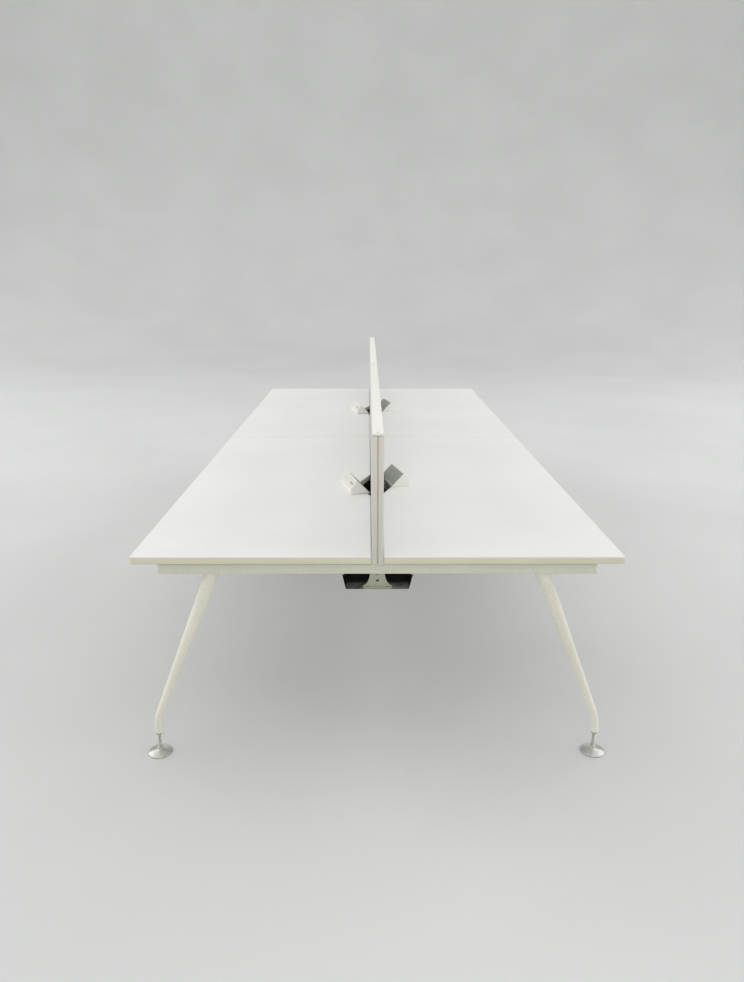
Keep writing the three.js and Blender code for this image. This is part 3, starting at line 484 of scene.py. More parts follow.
chrome = chrome_plate()
zinc = zinc_plate()
for leg in LEGS:
    node = f"foot_{leg}"
    body = f"foot_{leg}_body"
    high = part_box(node)[1]
    x, y, _ = middle_of(node)
    at = (x, y, 0)
    rim = high[0] - x
    profile = [
        (rim / 3, 0, 0),
        (rim, 0, DISC_FOOT_ROUND),
        (rim, FOOT_RIM, DISC_RIM_ROUND),
        ((rim + HUB_RADIUS) / 2, FOOT_RIM + DISC_SWELL * DISC_RISE, DISC_CROWN),
        (HUB_RADIUS, FOOT_RIM + DISC_RISE, HUB_FILLET),
        (HUB_RADIUS, HUB_TOP, HUB_ROUND),
        (STUD_RADIUS, HUB_TOP, 0),
    ]
    fit(surface(f"foot_disc_{leg}", lathe(profile, at, DISC_SIDES)), chrome, body, [node])
    stud = screw_thread(STUD_RADIUS, HUB_TOP - STUD_SUNK, high[2], at)
    fit(surface(f"foot_stud_{leg}", stud, crease=80), zinc, body)
    nut = hex_nut((x, y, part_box(f"leg_{leg}")[0][2] - FIT_GAP - NUT_TALL))
    fit(surface(f"lock_nut_{leg}", nut, loop=True), zinc)

# Long beams: folded steel channels between the rails, which carry the tops along their length.
# A flange on each end is held to the rail's side by two hex bolts with washers.
ENDS = {"near": -1, "far": 1}
BAYS = [f"{end}_{side}" for end in ENDS for side in SIDES]  # one for each work place
BOLT_SPACING = 0.084
BOLT_ACROSS = 0.013
BOLT_HEAD = 0.0053
BOLT_CORE = 0.002
BOLT_CONE = np.array((1.2, 1.2, 1.06, 0.94))  # radii of the cut up the head, in half widths
BOLT_RISE = np.array((0, 0.8, 0.9, 1))  # their heights, in shares of the head's
WASHER_RADIUS = 0.0085
WASHER_TALL = 0.0015
WASHER_SIDES = 32
BEAM_FLANGE = 0.004


def coat(node, finish):
    """Gives a part that keeps its own mesh a finish."""
    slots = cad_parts[node].data.materials
    slots.clear()
    slots.append(finish)


def hex_bolt(at, axis, size=1.0):
    """A washer and a hexagon head, cut by a cone at its free face. The widths and the head's
    height are times the given size."""
    washer = lathe([
        (BOLT_CORE, 0, 0),
        (size * WASHER_RADIUS, 0, BROKEN_EDGE),
        (size * WASHER_RADIUS, WASHER_TALL, BROKEN_EDGE),
        (BOLT_CORE, WASHER_TALL, 0),
    ], at, WASHER_SIDES, axis)
    cone = size * BOLT_ACROSS / 2 * BOLT_CONE[:, None]
    radius = np.minimum(hexagon(size * BOLT_ACROSS), cone)
    height = WASHER_TALL + size * BOLT_HEAD * BOLT_RISE[:, None]
    return washer, spun(radius, height, at, radius.shape[1], axis)


for bay in BAYS:
    node = f"long_beam_{bay}"
    coat(node, frame_coat)
    low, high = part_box(node)
    x, _, z = middle_of(node)
    bolts = []
    for y, facing in ((low[1] + BEAM_FLANGE, 1), (high[1] - BEAM_FLANGE, -1)):
        for offset in (-BOLT_SPACING / 2, BOLT_SPACING / 2):
            bolts += hex_bolt((x + offset, y, z), (0, facing, 0))
    fit(surface(f"beam_bolts_{bay}", *bolts), zinc)

# Cable trays: folded steel troughs under the middle of the bench, painted near black. The sheet
# was cut to length after painting, so that its end edges are a dull bare grey.
TRAY_EDGE = 0.0006
TRAY_LIT_BAND = 0.070


def tray_paint():
    """Matt black paint, bare at the sheet's cut ends. Painted light: what faces up near the open
    ends is lightened in patches, where light falls into the trough.
    """
    finish, shader, place = new_finish("black_tray_paint", Specular_IOR_Level=0.25)
    far_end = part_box("cable_tray_far")[1][1]
    outwards = place.along("Y").math("ABSOLUTE")
    cut = outwards.rise(far_end - TRAY_EDGE, far_end - TRAY_EDGE / 2)
    dust = place.stretch(5, 2, 5).noise(3, detail=5, rough=0.6)
    # Painted light: upward faces near the open ends are lightened in patches, as lit from outside the
    # trough.
    mouth = outwards.rise(far_end - TRAY_LIT_BAND, far_end - TRAY_LIT_BAND / 2)
    upward = place.node("ShaderNodeNewGeometry", output="Normal").along("Z").rise(0.5, 0.9)
    painted_light_near_mouth = mouth * upward * place.noise(25, detail=5, rough=0.65).rise(0.2, 0.7)
    paint = dust.rise(0.35, 0.75).blend(tint(13, 14, 14), tint(24, 24, 23))
    paint = painted_light_near_mouth.blend(paint, tint(150, 149, 143))
    cut.blend(paint, tint(196, 196, 189)).feed(shader, "Base Color")
    (0.42 + 0.2 * dust).feed(shader, "Roughness")
    place.noise(900, detail=3).bump(0.0002, 0.3).feed(shader, "Normal")
    return finish


tray_coat = tray_paint()
for end in ENDS:
    coat(f"cable_tray_{end}", tray_coat)

# Tray hangers: folded steel brackets, narrow at the waist, that hang the trays from the rails.
# A hex bolt holds the upper flange to the rail, and two pan screws hold the foot to the tray.
HANGER_SHEET = 0.003
HANGER_LIP = 0.013  # from the face of the web to the middle of a flange's flat stretch
HANGER_BOLT = 0.75  # against the beams' bolts
HANGER_SCREW_X = 0.030
SCREW_RADIUS = 0.0042
SCREW_TALL = 0.0022
SOCKET_ACROSS = 0.0032
SOCKET_RIM = 0.62 * SOCKET_ACROSS
SOCKET_FLOOR = 0.3  # share of the head's height
SCREW_SIDES = 36
DOME_ROWS = 6


def pan_screw(at, tall=SCREW_TALL):
    """A low domed head with a hexagon socket: rings up the dome, then hexagons down the socket."""
    a = quarter_turn(DOME_ROWS)[:, None]
    dome = SOCKET_RIM + (SCREW_RADIUS - SOCKET_RIM) * np.cos(a) * np.ones(SCREW_SIDES)
    socket = np.tile(hexagon(SOCKET_ACROSS, SCREW_SIDES), (2, 1))
    height = tall * np.concatenate((np.sin(a), ((1,), (SOCKET_FLOOR,))))
    return spun(np.concatenate((dome, socket)), height, at, SCREW_SIDES)


HANGER_FLECK = tint(120, 118, 108)
# Painted shade: the hangers' coat is written greyer and darker than the frame's white, for the shadow
# under the rails and tops.
hanger_coat_painted_shade = powder_coat("white_powder_coat", tint(190, 191, 171), tint(180, 181, 160), HANGER_FLECK)
for end, way in ENDS.items():
    for spot in ("end", "middle"):
        node = f"tray_hanger_{end}_{spot}"
        coat(node, hanger_coat_painted_shade)
        low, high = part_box(node)
        lip_y = (low[1] if way > 0 else high[1]) + way * HANGER_LIP
        upper = hex_bolt((0, lip_y, high[2] - HANGER_SHEET), (0, 0, -1), HANGER_BOLT)
        foot_z = low[2] + HANGER_SHEET
        lower = [pan_screw((x, lip_y, foot_z)) for x in (-HANGER_SCREW_X, HANGER_SCREW_X)]
        fit(surface(f"hanger_screws_{end}_{spot}", *upper, *lower), zinc)

# Desktops: particle board faced with white melamine, lying on the rails and beams.
# The inner edge has a scallop for leads, and a cream plastic edging is glued all round.
SCALLOP_SHIFT = 0.062  # from the middle of the top, towards the near end
SCALLOP_MOUTH = 0.330
SCALLOP_FLOOR = 0.070
SCALLOP_DEPTH = 0.048
SCALLOP_RADIUS = 0.015
TOP_CORNER = 0.009
TOP_SMALL_CORNER = 0.004
EDGING = 0.003
EDGING_ROUND = 0.0025
GLUE_LINE = 0.0001
REFLECTION_BAND = 0.0045
REFLECTION_FADE = 0.0006


def top_outline(inner, outer, seam, end):
    """The plan of a top: a rectangle with rounded corners and a scallop in its inner edge."""
    deep = inner + math.copysign(SCALLOP_DEPTH, inner)
    middle = (seam + end) / 2 - SCALLOP_SHIFT
    mouth = math.copysign(SCALLOP_MOUTH / 2, end)
    floor = math.copysign(SCALLOP_FLOOR / 2, end)
    return rounded([
        (inner, seam, TOP_SMALL_CORNER),
        (outer, seam, TOP_SMALL_CORNER),
        (outer, end, TOP_CORNER),
        (inner, end, TOP_SMALL_CORNER),
        (inner, middle + mouth, SCALLOP_RADIUS),
        (deep, middle + floor, SCALLOP_RADIUS),
        (deep, middle - floor, SCALLOP_RADIUS),
        (inner, middle - mouth, SCALLOP_RADIUS),
    ], steps=8)


def edging_skin(outline, low, high):
    """The edging's section carried round the outline: flat inside, and a rounded wall outside."""
    depths, heights = rounded_wall(low, high, EDGING_ROUND)
    depths = np.concatenate(((EDGING,), depths, (EDGING,)))
    heights = np.concatenate(((low,), heights, (high,)))
    return carried(outline, depths, heights)


def melamine():
    """White board facing: a fine pearl texture, hardly cloudy, with wiped patches in its sheen."""
    finish, shader, place = new_finish("white_melamine")
    cloud = place.noise(1.7, detail=4)
    wiped = place.stretch(3, 1.2, 3).noise(3, detail=5, rough=0.6)
    cloud.rise(0.3, 0.7).blend(tint(232, 231, 229), tint(236, 235, 233)).feed(shader, "Base Color")
    (0.4 + 0.14 * wiped).feed(shader, "Roughness")
    place.noise(1300, detail=3).bump(0.0001, 0.25).feed(shader, "Normal")
    return finish


def edging_plastic():
    """Cream edging: fine lines along its length from the roller, a little colour drift, and a
    greyer band along the top, a painted reflection on the rounded top edge."""
    finish, shader, place = new_finish("cream_edging")
    lines = place.stretch(6, 6, 1500).noise(1, detail=2)
    drift = place.noise(5, detail=3)
    tone = (0.6 * lines + 0.4 * drift).rise(0.3, 0.7)
    cream = tone.blend(tint(214, 210, 186), tint(223, 220, 199))
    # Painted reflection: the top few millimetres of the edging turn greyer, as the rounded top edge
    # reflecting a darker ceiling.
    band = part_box("desktop_near_left")[1][2] - REFLECTION_BAND
    painted_reflection = place.along("Z").rise(band - REFLECTION_FADE, band)
    painted_reflection.blend(cream, tint(223, 219, 215)).feed(shader, "Base Color")
    (0.32 + 0.16 * lines).feed(shader, "Roughness")
    lines.bump(0.00008, 0.4).feed(shader, "Normal")
    return finish


board_face = melamine()
edging_face = edging_plastic()
for bay in BAYS:
    node = f"desktop_{bay}"
    low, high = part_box(node)
    inner, outer = sorted((low[0], high[0]), key=abs)
    seam, tip = sorted((low[1], high[1]), key=abs)
    plan = top_outline(inner, outer, seam, tip)
    board = slab(inset(plan, EDGING + GLUE_LINE), low[2], high[2], GLUE_LINE, steps=2)
    fit(surface(f"board_{bay}", board), board_face, stands_for=[node])
    band = edging_skin(plan, low[2], high[2])
    fit(surface(f"edging_{bay}", band, loop=True), edging_face)

# Screen posts: aluminium extrusions in folded shoes on the rails, painted a satin warm white.
# The end posts have a slot down their outer face, and the panels stand in channels behind.
POST_SLOT = 0.0025
POST_SLOT_DEPTH = 0.005
POST_ROUND = 0.0015
SMALL_ROUND = 0.0004


def satin_paint(name, colour, shaded):
    """Paint on an extrusion: long faint die lines up the length, and a soft even sheen."""
    finish, shader, place = new_finish(name)
    lines = place.stretch(900, 900, 3).noise(1, detail=2)
    cloud = place.noise(6, detail=3)
    (0.35 * lines + 0.65 * cloud).rise(0.3, 0.7).blend(shaded, colour).feed(shader, "Base Color")
    (0.34 + 0.14 * cloud).feed(shader, "Roughness")
    lines.bump(0.00005, 0.35).feed(shader, "Normal")
    return finish


def rectangle(low, high, low_round, high_round):
    """A rectangle between two corners, with one rounding on its low side and one on its high side."""
    return rounded([
        (low[0], low[1], low_round),
        (high[0], low[1], low_round),
        (high[0], high[1], high_round),
        (low[0], high[1], high_round),
    ])


def post_outline(half, inner, outer):
    """An end post's plan: a rectangle with rounded outer corners and a slot in the outer face."""
    slot = outer - math.copysign(POST_SLOT_DEPTH, outer)
    return rounded([
        (-half, inner, SMALL_ROUND),
        (half, inner, SMALL_ROUND),
        (half, outer, POST_ROUND),
        (POST_SLOT, outer, SMALL_ROUND),
        (POST_SLOT, slot, SMALL_ROUND),
        (-POST_SLOT, slot, SMALL_ROUND),
        (-POST_SLOT, outer, SMALL_ROUND),
        (-half, outer, POST_ROUND),
    ])


post_face = satin_paint("satin_post_paint", tint(220, 216, 205), tint(213, 209, 197))
for row in FRAMES:
    coat(f"screen_shoe_{row}", frame_coat)
    node = f"screen_post_{row}"
    low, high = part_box(node)
    if row == "middle":
        plan = rectangle(low, high, SMALL_ROUND, SMALL_ROUND)
    else:
        inner, outer = sorted((low[1], high[1]), key=abs)
        plan = post_outline(high[0], inner, outer)
    post = slab(plan, low[2], high[2], SMALL_ROUND, steps=3)
    fit(surface(f"post_{row}", post), post_face, stands_for=[node])

# Screen panels: rigid boards, wrapped in a plain woven pale cloth over thin felt, that stand in the
# posts and in a bottom channel. The cloth is just proud of the posts, and only what shows is made.
PANEL_CORNER = 0.002
PANEL_SOFT_EDGE = 0.002
PANEL_PROUD = 0.001
YARN = 0.0021
SIDE = (2, 0, 1)  # an outline in y and z, carried along x


def woven_cloth():
    """Plain weave: the height is a product of sines along the length and the height, yarns drift
    in colour along their own length, and the cloth is slightly felted."""
    finish, shader, place = new_finish("grey_woven_cloth", Sheen_Weight=0.25, Sheen_Roughness=0.5)
    weave = place.along("Y").wave(YARN) * place.along("Z").wave(YARN)
    weft = place.stretch(40, 12, 480).noise(1, detail=2)
    warp = place.stretch(40, 480, 12).noise(1, detail=2)
    tone = 0.4 * weft + 0.4 * warp + 0.1 * weave + 0.1 * place.noise(1800)
    tone.rise(0.25, 0.68).blend(tint(192, 193, 189), tint(216, 217, 212)).feed(shader, "Base Color")
    (0.86 + 0.1 * tone).feed(shader, "Roughness")
    (weave + 0.6 * tone).bump(0.0003, 0.6).feed(shader, "Normal")
    return finish


cloth = woven_cloth()
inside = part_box("screen_post_middle")[1][1] + FIT_GAP
for end, way in ENDS.items():
    coat(f"screen_bottom_rail_{end}", post_face)
    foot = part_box(f"screen_bottom_rail_{end}")[1][2] + FIT_GAP
    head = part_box(f"screen_cap_{end}")[0][2] - FIT_GAP
    low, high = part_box(f"screen_post_{end}")
    outside = min(abs(low[1]), abs(high[1])) - FIT_GAP
    half = high[0] + PANEL_PROUD
    face = rectangle((way * inside, foot), (way * outside, head), PANEL_CORNER, PANEL_CORNER)
    panel = surface(f"panel_{end}", slab(face, -half, half, PANEL_SOFT_EDGE, SIDE))
    fit(panel, cloth, stands_for=[f"screen_panel_{end}"])

# Screen caps: white painted extrusions that close the panels along the top. Socket screws go down
# through both ends of each cap into the posts.
CAP_ROUND = 0.003
CAP_END_ROUND = 0.0014
CAP_SCREW_INSET = 0.012
CAP_SCREW_TALL = 0.0008

cap_face = satin_paint("satin_cap_paint", tint(241, 239, 233), tint(236, 233, 226))
for end in ENDS:
    node = f"screen_cap_{end}"
    low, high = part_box(node)
    section = rectangle(low.xz, high.xz, SMALL_ROUND, CAP_ROUND)
    cap = slab(section, low[1], high[1], CAP_END_ROUND, FRONT)
    fit(surface(f"cap_{end}", cap), cap_face, stands_for=[node])
    places = (low[1] + CAP_SCREW_INSET, high[1] - CAP_SCREW_INSET)
    heads = [pan_screw((0, y, high[2]), CAP_SCREW_TALL) for y in places]
    fit(surface(f"cap_screws_{end}", *heads), zinc)

# Power units: white moulded wedges at the slanted sides of the scallops. End cheeks stand round a
# sloping socket plate on the user's side and a grey steel plate at the back.
UNIT_SLANT = math.radians(15)
UNIT_LENGTH = 0.182
UNIT_DEPTH = 0.084
UNIT_HEIGHT = 0.058
UNIT_LIP = 0.023
UNIT_RIDGE = 0.026  # from the front to the ridge
UNIT_CHEEK = 0.004
UNIT_RIDGE_WIDTH = 0.005
UNIT_BACK = 0.070  # length of the back slope that the core fills
FOOT_ROUND = 0.0006
NOSE_ROUND = 0.003
LIP_ROUND = 0.001
RIDGE_ROUND = 0.002
CHEEK_EDGE = 0.0008
CORE_EDGE = 0.0001
PLATE_THICK = 0.0025
CLAMP_SHEET = 0.002
RIDGE = np.array((UNIT_DEPTH / 2 - UNIT_RIDGE, UNIT_HEIGHT))
LIP = np.array((UNIT_DEPTH / 2, UNIT_LIP))
TAIL = np.array((-UNIT_DEPTH / 2, FIT_GAP))
FACE_LENGTH = np.linalg.norm(RIDGE - LIP)
FRONT_SLOPE = (RIDGE - LIP) / FACE_LENGTH
BACK_SLOPE = (TAIL - RIDGE) / np.linalg.norm(TAIL - RIDGE)
FRONT_NORMAL = np.array((FRONT_SLOPE[1], -FRONT_SLOPE[0]))
BACK_NORMAL = np.array((BACK_SLOPE[1], -BACK_SLOPE[0]))
INNER_HALF = UNIT_LENGTH / 2 - UNIT_CHEEK


def stand(skin, bay):
    """A skin made about a unit's own middle, turned to its slant and put on its top."""
    x, y, _ = middle_of(f"power_housing_{bay}")
    angle = UNIT_SLANT if x > 0 else UNIT_SLANT + math.pi
    turn = np.array(((math.cos(angle), math.sin(angle), 0), (-math.sin(angle), math.cos(angle), 0), UP))
    return skin @ turn + (x, y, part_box(f"desktop_{bay}")[1][2])


def moulded_plastic(name, colour, shaded, spark, gloss):
    """Moulded plastic with a spark-eroded texture of the given depth, and slightly uneven gloss."""
    finish, shader, place = new_finish(name)
    cloud = place.noise(14, detail=3)
    cloud.rise(0.3, 0.7).blend(shaded, colour).feed(shader, "Base Color")
    (gloss + 0.12 * cloud).feed(shader, "Roughness")
    place.noise(1700, detail=2).bump(spark, 0.5).feed(shader, "Normal")
    return finish


def cheek(from_y, to_y):
    """An end cheek: the wedge's side view with its nose and ridge rounded."""
    side_view = rounded([
        (*TAIL, FOOT_ROUND),
        (LIP[0], FIT_GAP, FOOT_ROUND),
        (*LIP, NOSE_ROUND),
        (*RIDGE, RIDGE_ROUND),
    ])
    return slab(side_view, from_y, to_y, CHEEK_EDGE, FRONT)


def housing_core():
    """The body between the cheeks, sunk under both plates, with its ridge left standing."""
    plate_end = LIP + FRONT_SLOPE * (FACE_LENGTH - UNIT_RIDGE_WIDTH)
    sunk = FRONT_NORMAL * (PLATE_THICK + FIT_GAP)
    back_start = RIDGE + BACK_SLOPE * UNIT_RIDGE_WIDTH
    back_sunk = BACK_NORMAL * (CLAMP_SHEET + FIT_GAP)
    back_end = RIDGE + BACK_SLOPE * UNIT_BACK
    section = rounded([
        (back_end[0], FIT_GAP, 0),
        (LIP[0], FIT_GAP, FOOT_ROUND),
        (*LIP, LIP_ROUND),
        (*(LIP - sunk), 0),
        (*(plate_end - sunk), 0),
        (*plate_end, SMALL_ROUND),
        (*RIDGE, RIDGE_ROUND),
        (*back_start, SMALL_ROUND),
        (*(back_start - back_sunk), 0),
        (*(back_end - back_sunk), 0),
    ])
    return slab(section, -INNER_HALF, INNER_HALF, CORE_EDGE, FRONT, steps=2)


housing_plastic = moulded_plastic(
    "white_housing_plastic", tint(239, 238, 232), tint(234, 233, 227), spark=0.00012, gloss=0.36
)
housing_skins = (
    cheek(-UNIT_LENGTH / 2, -INNER_HALF),
    housing_core(),
    cheek(INNER_HALF, UNIT_LENGTH / 2),
)
for bay in BAYS:
    housing = surface(f"unit_housing_{bay}", *(stand(skin, bay) for skin in housing_skins))
    fit(housing, housing_plastic, stands_for=[f"power_housing_{bay}"])

# Socket plates: smooth white covers that snap into the front slopes of the units. Each has a pair
# of small ports near one end, and fine joint lines where its modules meet.
PLATE_GAP = 0.0004
PLATE_WIDTH = FACE_LENGTH - UNIT_RIDGE_WIDTH - 2 * PLATE_GAP
PLATE_HALF = INNER_HALF - PLATE_GAP
MODULES = (-PLATE_HALF, -PLATE_HALF / 3, PLATE_HALF / 3, PLATE_HALF)
MODULE_GAP = 0.0004
MODULE_CORNER = 0.0012
PORT_PLACE = 0.0574
PORT_SPACING = 0.022
PORT_SIZE = (0.006, 0.013)
PORT_CORNER = 0.0008
PORT_SUNK = 0.001
PORT_FILL = 0.0001
PORT_EDGE = 0.00005
PORT_FRAME = 0.0012
PORT_FRAME_CORNER = 0.0016
PORT_PROUD = 0.0006
PORT_FRAME_ROWS = 7


def plate_outline(width, length, radius, middle):
    """A rounded rectangle on the plate, with its middle at a place along the unit."""
    half = np.array((width, length)) / 2
    return rectangle((0, middle) - half, (0, middle) + half, radius, radius)


def on_front_slope(skin):
    """A skin made flat, with z as height, laid on the slope: x runs up it and z stands out of it."""
    middle = LIP + FRONT_SLOPE * (FACE_LENGTH - UNIT_RIDGE_WIDTH) / 2
    x, y, z = np.moveaxis(skin, -1, 0)
    across = middle + x[..., None] * FRONT_SLOPE + z[..., None] * FRONT_NORMAL
    return np.stack((across[..., 0], y, across[..., 1]), axis=-1)


def plate_module(start, stop):
    """One cover of the plate, between two places along the unit."""
    outline = plate_outline(PLATE_WIDTH, stop - start - MODULE_GAP, MODULE_CORNER, (start + stop) / 2)
    return on_front_slope(slab(outline, -PLATE_THICK, 0, SMALL_ROUND))


def port_frame(middle):
    """A raised rim round a port: a half round section carried round a rounded rectangle."""
    width, length = np.array(PORT_SIZE) + 2 * PORT_FRAME
    outline = plate_outline(width, length, PORT_FRAME_CORNER, middle)
    a = np.linspace(0, np.pi, PORT_FRAME_ROWS)
    depths = np.concatenate(((0,), PORT_FRAME / 2 * (1 - np.cos(a)), (PORT_FRAME,)))
    heights = np.concatenate(((-PORT_SUNK,), PORT_PROUD * np.sin(a), (-PORT_SUNK,)))
    return on_front_slope(carried(outline, depths, heights))


def port_well(middle):
    """The dark inside of a port."""
    outline = plate_outline(*PORT_SIZE, PORT_CORNER, middle)
    return on_front_slope(slab(outline, -PORT_SUNK, PORT_FILL, PORT_EDGE, steps=2))


def port_black():
    """Dark moulded plastic inside a port, with patches of dust."""
    finish, shader, place = new_finish("black_port_plastic")
    dust = place.noise(420, detail=3)
    dust.rise(0.45, 0.8).blend(tint(20, 20, 21), tint(46, 45, 44)).feed(shader, "Base Color")
    (0.35 + 0.3 * dust).feed(shader, "Roughness")
    return finish


plate_plastic = moulded_plastic(
    "white_plate_plastic", tint(223, 221, 213), tint(218, 216, 208), spark=0.00005, gloss=0.3
)
port_plastic = port_black()
ports = (PORT_PLACE - PORT_SPACING / 2, PORT_PLACE + PORT_SPACING / 2)
for bay in BAYS:
    covers = [stand(plate_module(*span), bay) for span in zip(MODULES[:-1], MODULES[1:])]
    plate = surface(f"socket_plate_{bay}", *covers)
    fit(plate, plate_plastic, stands_for=[f"power_sockets_{bay}"])
    rims = surface(f"port_frames_{bay}", *(stand(port_frame(port), bay) for port in ports), loop=True)
    fit(rims, plate_plastic)
    wells = surface(f"ports_{bay}", *(stand(port_well(port), bay) for port in ports))
    fit(wells, port_plastic)

# Clamps: grey dimpled steel sheets. Each covers a unit's back slope, and a tab from it bends down
# through the scallop and forward under the top, where a screw grips the board.
UNIT_OVERHANG = 0.012  # of the unit's tail, past the scallop's edge
TAB_GAP = 0.0005
TAB_FACE = UNIT_OVERHANG - UNIT_DEPTH / 2 - TAB_GAP
TAB_WIDTH = 0.060
TAB_INSET = 0.0007
TAB_LAP = 0.0002
TAIL_ROUND = 0.0012
FOLD_ROUND = 0.0002
JAW_LENGTH = 0.050
JAW_DROP = 0.042
DIMPLE = 0.0055
PLATE_END_HALF = INNER_HALF - FIT_GAP
TAB_HIGH = PLATE_END_HALF - TAB_INSET
TAB_LOW = TAB_HIGH - TAB_WIDTH


def back_slope_at(x, depth):
    """The point of the back slope, or of a line depth under it, at a given x."""
    start = RIDGE - BACK_NORMAL * depth
    return start + BACK_SLOPE * (x - start[0]) / BACK_SLOPE[0]


def clamp_skins():
    """Two folded lengths of sheet: the wide plate on the slope, and the narrow tab with its jaw."""
    start = RIDGE + BACK_SLOPE * (UNIT_RIDGE_WIDTH + FIT_GAP)
    outer = back_slope_at(TAB_FACE - CLAMP_SHEET, 0)
    inner = back_slope_at(TAB_FACE, CLAMP_SHEET)
    slope = rounded([
        (*start, BROKEN_EDGE),
        (*outer, TAIL_ROUND),
        (*inner, FOLD_ROUND),
        (*(start - BACK_NORMAL * CLAMP_SHEET), BROKEN_EDGE),
    ])
    jaw_end = TAB_FACE + JAW_LENGTH
    tab = rounded([
        (outer[0], outer[1] - TAB_LAP, 0),
        (TAB_FACE - CLAMP_SHEET, -JAW_DROP - CLAMP_SHEET, 2 * CLAMP_SHEET),
        (jaw_end, -JAW_DROP - CLAMP_SHEET, SMALL_ROUND),
        (jaw_end, -JAW_DROP, SMALL_ROUND),
        (TAB_FACE, -JAW_DROP, CLAMP_SHEET),
        (inner[0], inner[1] - TAB_LAP, 0),
    ])
    wide = slab(slope, -PLATE_END_HALF, PLATE_END_HALF, BROKEN_EDGE, FRONT, steps=3)
    narrow = slab(tab, TAB_LOW, TAB_HIGH, BROKEN_EDGE, FRONT, steps=3)
    return wide, narrow


def dimpled_steel():
    """Grey paint on steel with pressed dimples: a product of sines along the unit, which is turned by
    its slant, and up its back slope of 45 degrees, over a stipple near a millimetre. The colour
    follows the same height, darker in the dimples' hollows as painted shade."""
    finish, shader, place = new_finish("grey_dimpled_paint")
    turned = place.node("ShaderNodeMapping", None, {"Vector": place, "Rotation": (0, 0, UNIT_SLANT)})
    dimples = turned.along("Y").wave(DIMPLE) * place.along("Z").wave(DIMPLE / math.sqrt(2))
    stipple = place.noise(520, detail=3, rough=0.6)
    height = 0.3 * dimples + 0.5 * stipple + 0.2 * place.noise(30, detail=3)
    # Painted shade: the colour follows the relief, darker in the dimples' hollows, and varies at random
    # with the stipple.
    height.rise(0.1, 0.6).blend(tint(142, 146, 138), tint(188, 191, 183)).feed(shader, "Base Color")
    (0.5 + 0.2 * stipple).feed(shader, "Roughness")
    height.bump(0.0005, 0.5).feed(shader, "Normal")
    return finish


grey_paint = dimpled_steel()
for bay in BAYS:
    sheet = surface(f"clamp_{bay}", *(stand(skin, bay) for skin in clamp_skins()))
    fit(sheet, grey_paint, stands_for=[f"power_clamp_{bay}"])

# Clamp screws: zinc plated thumb screws through the jaws, each with a knurled knob below and a
# pressed pad above that bears on the underside of the top.
KNOB_RADIUS = 0.011
KNOB_TALL = 0.010
KNOB_INWARD = np.array((0.005, 0.0015, 0.0004, 0))  # of the rows from the knob's face to its middle
KNOB_CLIMB = np.array((0, 0, 0.0005, 0.0015))
KNOB_FLUTED = np.array((0, 0, 0.6, 1))
KNURLS = 30
KNURL_DEPTH = 0.0005
KNURL_POINTS = 6
PAD_RADIUS = 0.0075
PAD_TALL = 0.003
PAD_ROUND = 0.0008
PAD_BORE = 0.003
PAD_DIMPLE = 0.002
PAD_SIDES = 40
STEM_RADIUS = 0.004
STEM_LAP = 0.0005


def knob_skin(at, low):
    """A round knob whose rim is fluted: the radius dips by a cosine of the turn times the flutes.
    The rows of its lower half are mirrored above."""
    sides = KNURLS * KNURL_POINTS
    flute = KNURL_DEPTH * (0.5 - 0.5 * np.cos(KNURLS * turns(sides)))
    inward = np.concatenate((KNOB_INWARD, KNOB_INWARD[::-1]))[:, None]
    fluted = np.concatenate((KNOB_FLUTED, KNOB_FLUTED[::-1]))[:, None]
    rise = np.concatenate((KNOB_CLIMB, KNOB_TALL - KNOB_CLIMB[::-1]))[:, None]
    return spun(KNOB_RADIUS - inward - fluted * flute, low + rise, at, sides)


for bay in BAYS:
    node = f"power_clamp_screw_{bay}"
    low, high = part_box(node)
    x, y, _ = middle_of(node)
    at = (x, y, 0)
    pad_low = high[2] - PAD_TALL
    pad = lathe([
        (PAD_BORE, pad_low, 0),
        (PAD_RADIUS, pad_low, SMALL_ROUND),
        (PAD_RADIUS, high[2], PAD_ROUND),
        (PAD_DIMPLE, high[2], 0),
    ], at, PAD_SIDES)
    stem = screw_thread(STEM_RADIUS, low[2] + KNOB_TALL - STEM_LAP, pad_low + STEM_LAP, at)
    screw = surface(f"clamp_screw_{bay}", knob_skin(at, low[2]), stem, pad, crease=50)
    fit(screw, zinc, f"clamp_screw_{bay}_body", [node])

# Studio: a pale floor that sweeps up into a round backdrop, a broad lamp on each side, a weak one
# in front, and an even pale surround.
FLOOR_RADIUS = 16.0
FLOOR_PATCH = 0.5
FLOOR_DROP = 0.0005
SWEEP_RADIUS = 6.0
BACKDROP_TOP = 16.0
BACKDROP_SIDES = 128
SURROUND = 1.05
SIDE_WATTS = 530.0
SIDE_SIZE = (14.0, 6.0)
SIDE_LAMP = (9.5, 0.3, 5.0)
SIDE_TARGET = (0.4, 0.3, 0.7)
FRONT_WATTS = 30.0
FRONT_SIZE = (1.2, 2.5)
FRONT_LAMP = (0.1, -7.0, 2.4)
FRONT_TARGET = (0, 0, 0.5)


def backdrop_paint():
    """Matt pale paint with a trace of roller texture."""
    finish, shader, place = new_finish("pale_backdrop_paint", Roughness=0.9)
    cloud = place.noise(0.8, detail=3).rise(0.3, 0.7)
    cloud.blend(tint(203, 204, 203), tint(207, 208, 207)).feed(shader, "Base Color")
    return finish


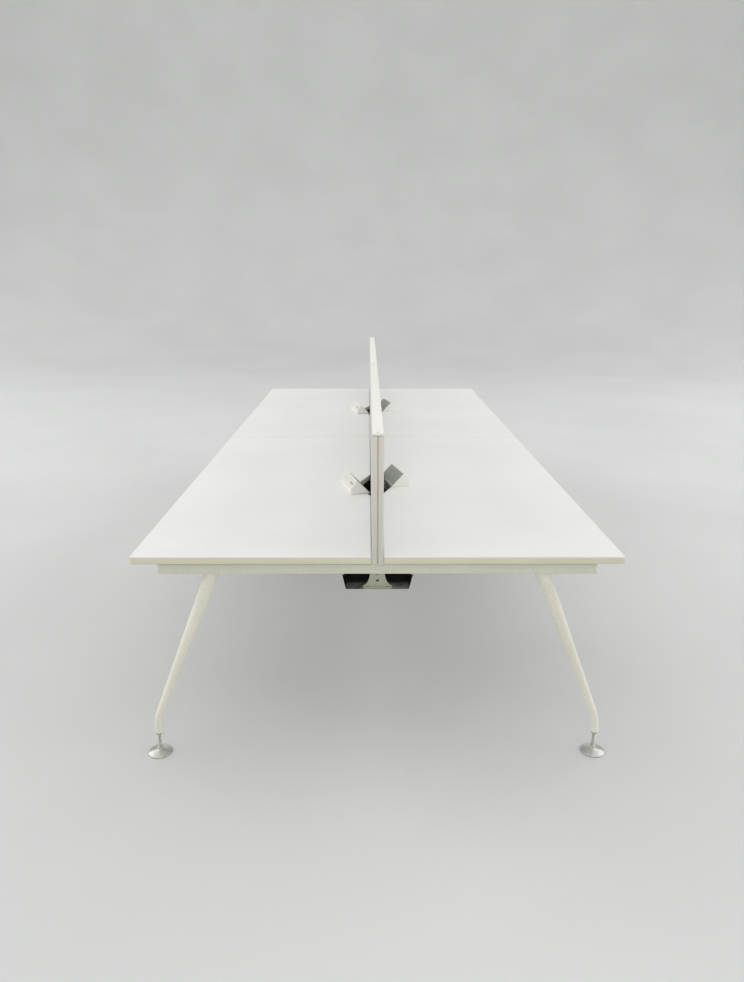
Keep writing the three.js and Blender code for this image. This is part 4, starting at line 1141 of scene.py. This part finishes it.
def softbox(name, at, target, size, watts):
    """A rectangular area lamp at a place, turned to face a target and hidden from the camera."""
    lamp = bpy.data.lights.new(name, "AREA")
    lamp.shape = "RECTANGLE"
    lamp.size, lamp.size_y = size
    lamp.energy = watts
    holder = bpy.data.objects.new(name, lamp)
    holder.location = at
    way = np.array(target) - at
    holder.rotation_euler = (math.acos(-way[2] / np.linalg.norm(way)), 0, math.atan2(-way[0], way[1]))
    holder.visible_camera = False
    bpy.context.scene.collection.objects.link(holder)


sweep = lathe([
    (FLOOR_PATCH, 0, 0),
    (FLOOR_RADIUS, 0, SWEEP_RADIUS),
    (FLOOR_RADIUS, BACKDROP_TOP, 0),
], (0, 0, -FLOOR_DROP), BACKDROP_SIDES)
numbers = point_numbers(sweep)
inward_faces = strips(numbers)[:, ::-1].tolist() + [numbers[0].tolist()]
backdrop = add_piece("backdrop", sweep.reshape(-1, 3), inward_faces)
backdrop.data.materials.append(backdrop_paint())

for name, side in SIDES.items():
    mirror = np.array((side, 1, 1))
    softbox(f"{name}_softbox", mirror * SIDE_LAMP, mirror * SIDE_TARGET, SIDE_SIZE, SIDE_WATTS)
softbox("front_softbox", FRONT_LAMP, FRONT_TARGET, FRONT_SIZE, FRONT_WATTS)

world = bpy.data.worlds.new("pale_surround")
world.use_nodes = True
world.node_tree.nodes["Background"].inputs["Color"].default_value = (1.0, 1.0, 1.0, 1.0)
world.node_tree.nodes["Background"].inputs["Strength"].default_value = SURROUND
bpy.context.scene.world = world
bpy.context.scene.view_settings.view_transform = "Standard"

# Camera: where the photograph was taken from, in front of the near end and about half a metre above
# the screen. Its place, turn and focal length were fitted to the object's straight edges.
FOCAL_PIXELS = 713.56
FRAME_PIXELS = 982  # along the longer side of the picture, which the sensor's width spans
SENSOR_MM = 36.0
CAMERA_AT = (-0.0297, -3.9326, 1.6207)
CAMERA_TURN = (90 - 16.726, -0.066, -0.286)  # degrees: up from straight down, roll and heading
CAMERA_REACH = 60

lens = bpy.data.cameras.new("camera")
lens.sensor_width = SENSOR_MM
lens.lens = FOCAL_PIXELS / FRAME_PIXELS * SENSOR_MM
lens.clip_end = CAMERA_REACH
camera = bpy.data.objects.new("camera", lens)
camera.location = CAMERA_AT
camera.rotation_euler = np.radians(CAMERA_TURN)
bpy.context.scene.collection.objects.link(camera)
bpy.context.scene.camera = camera
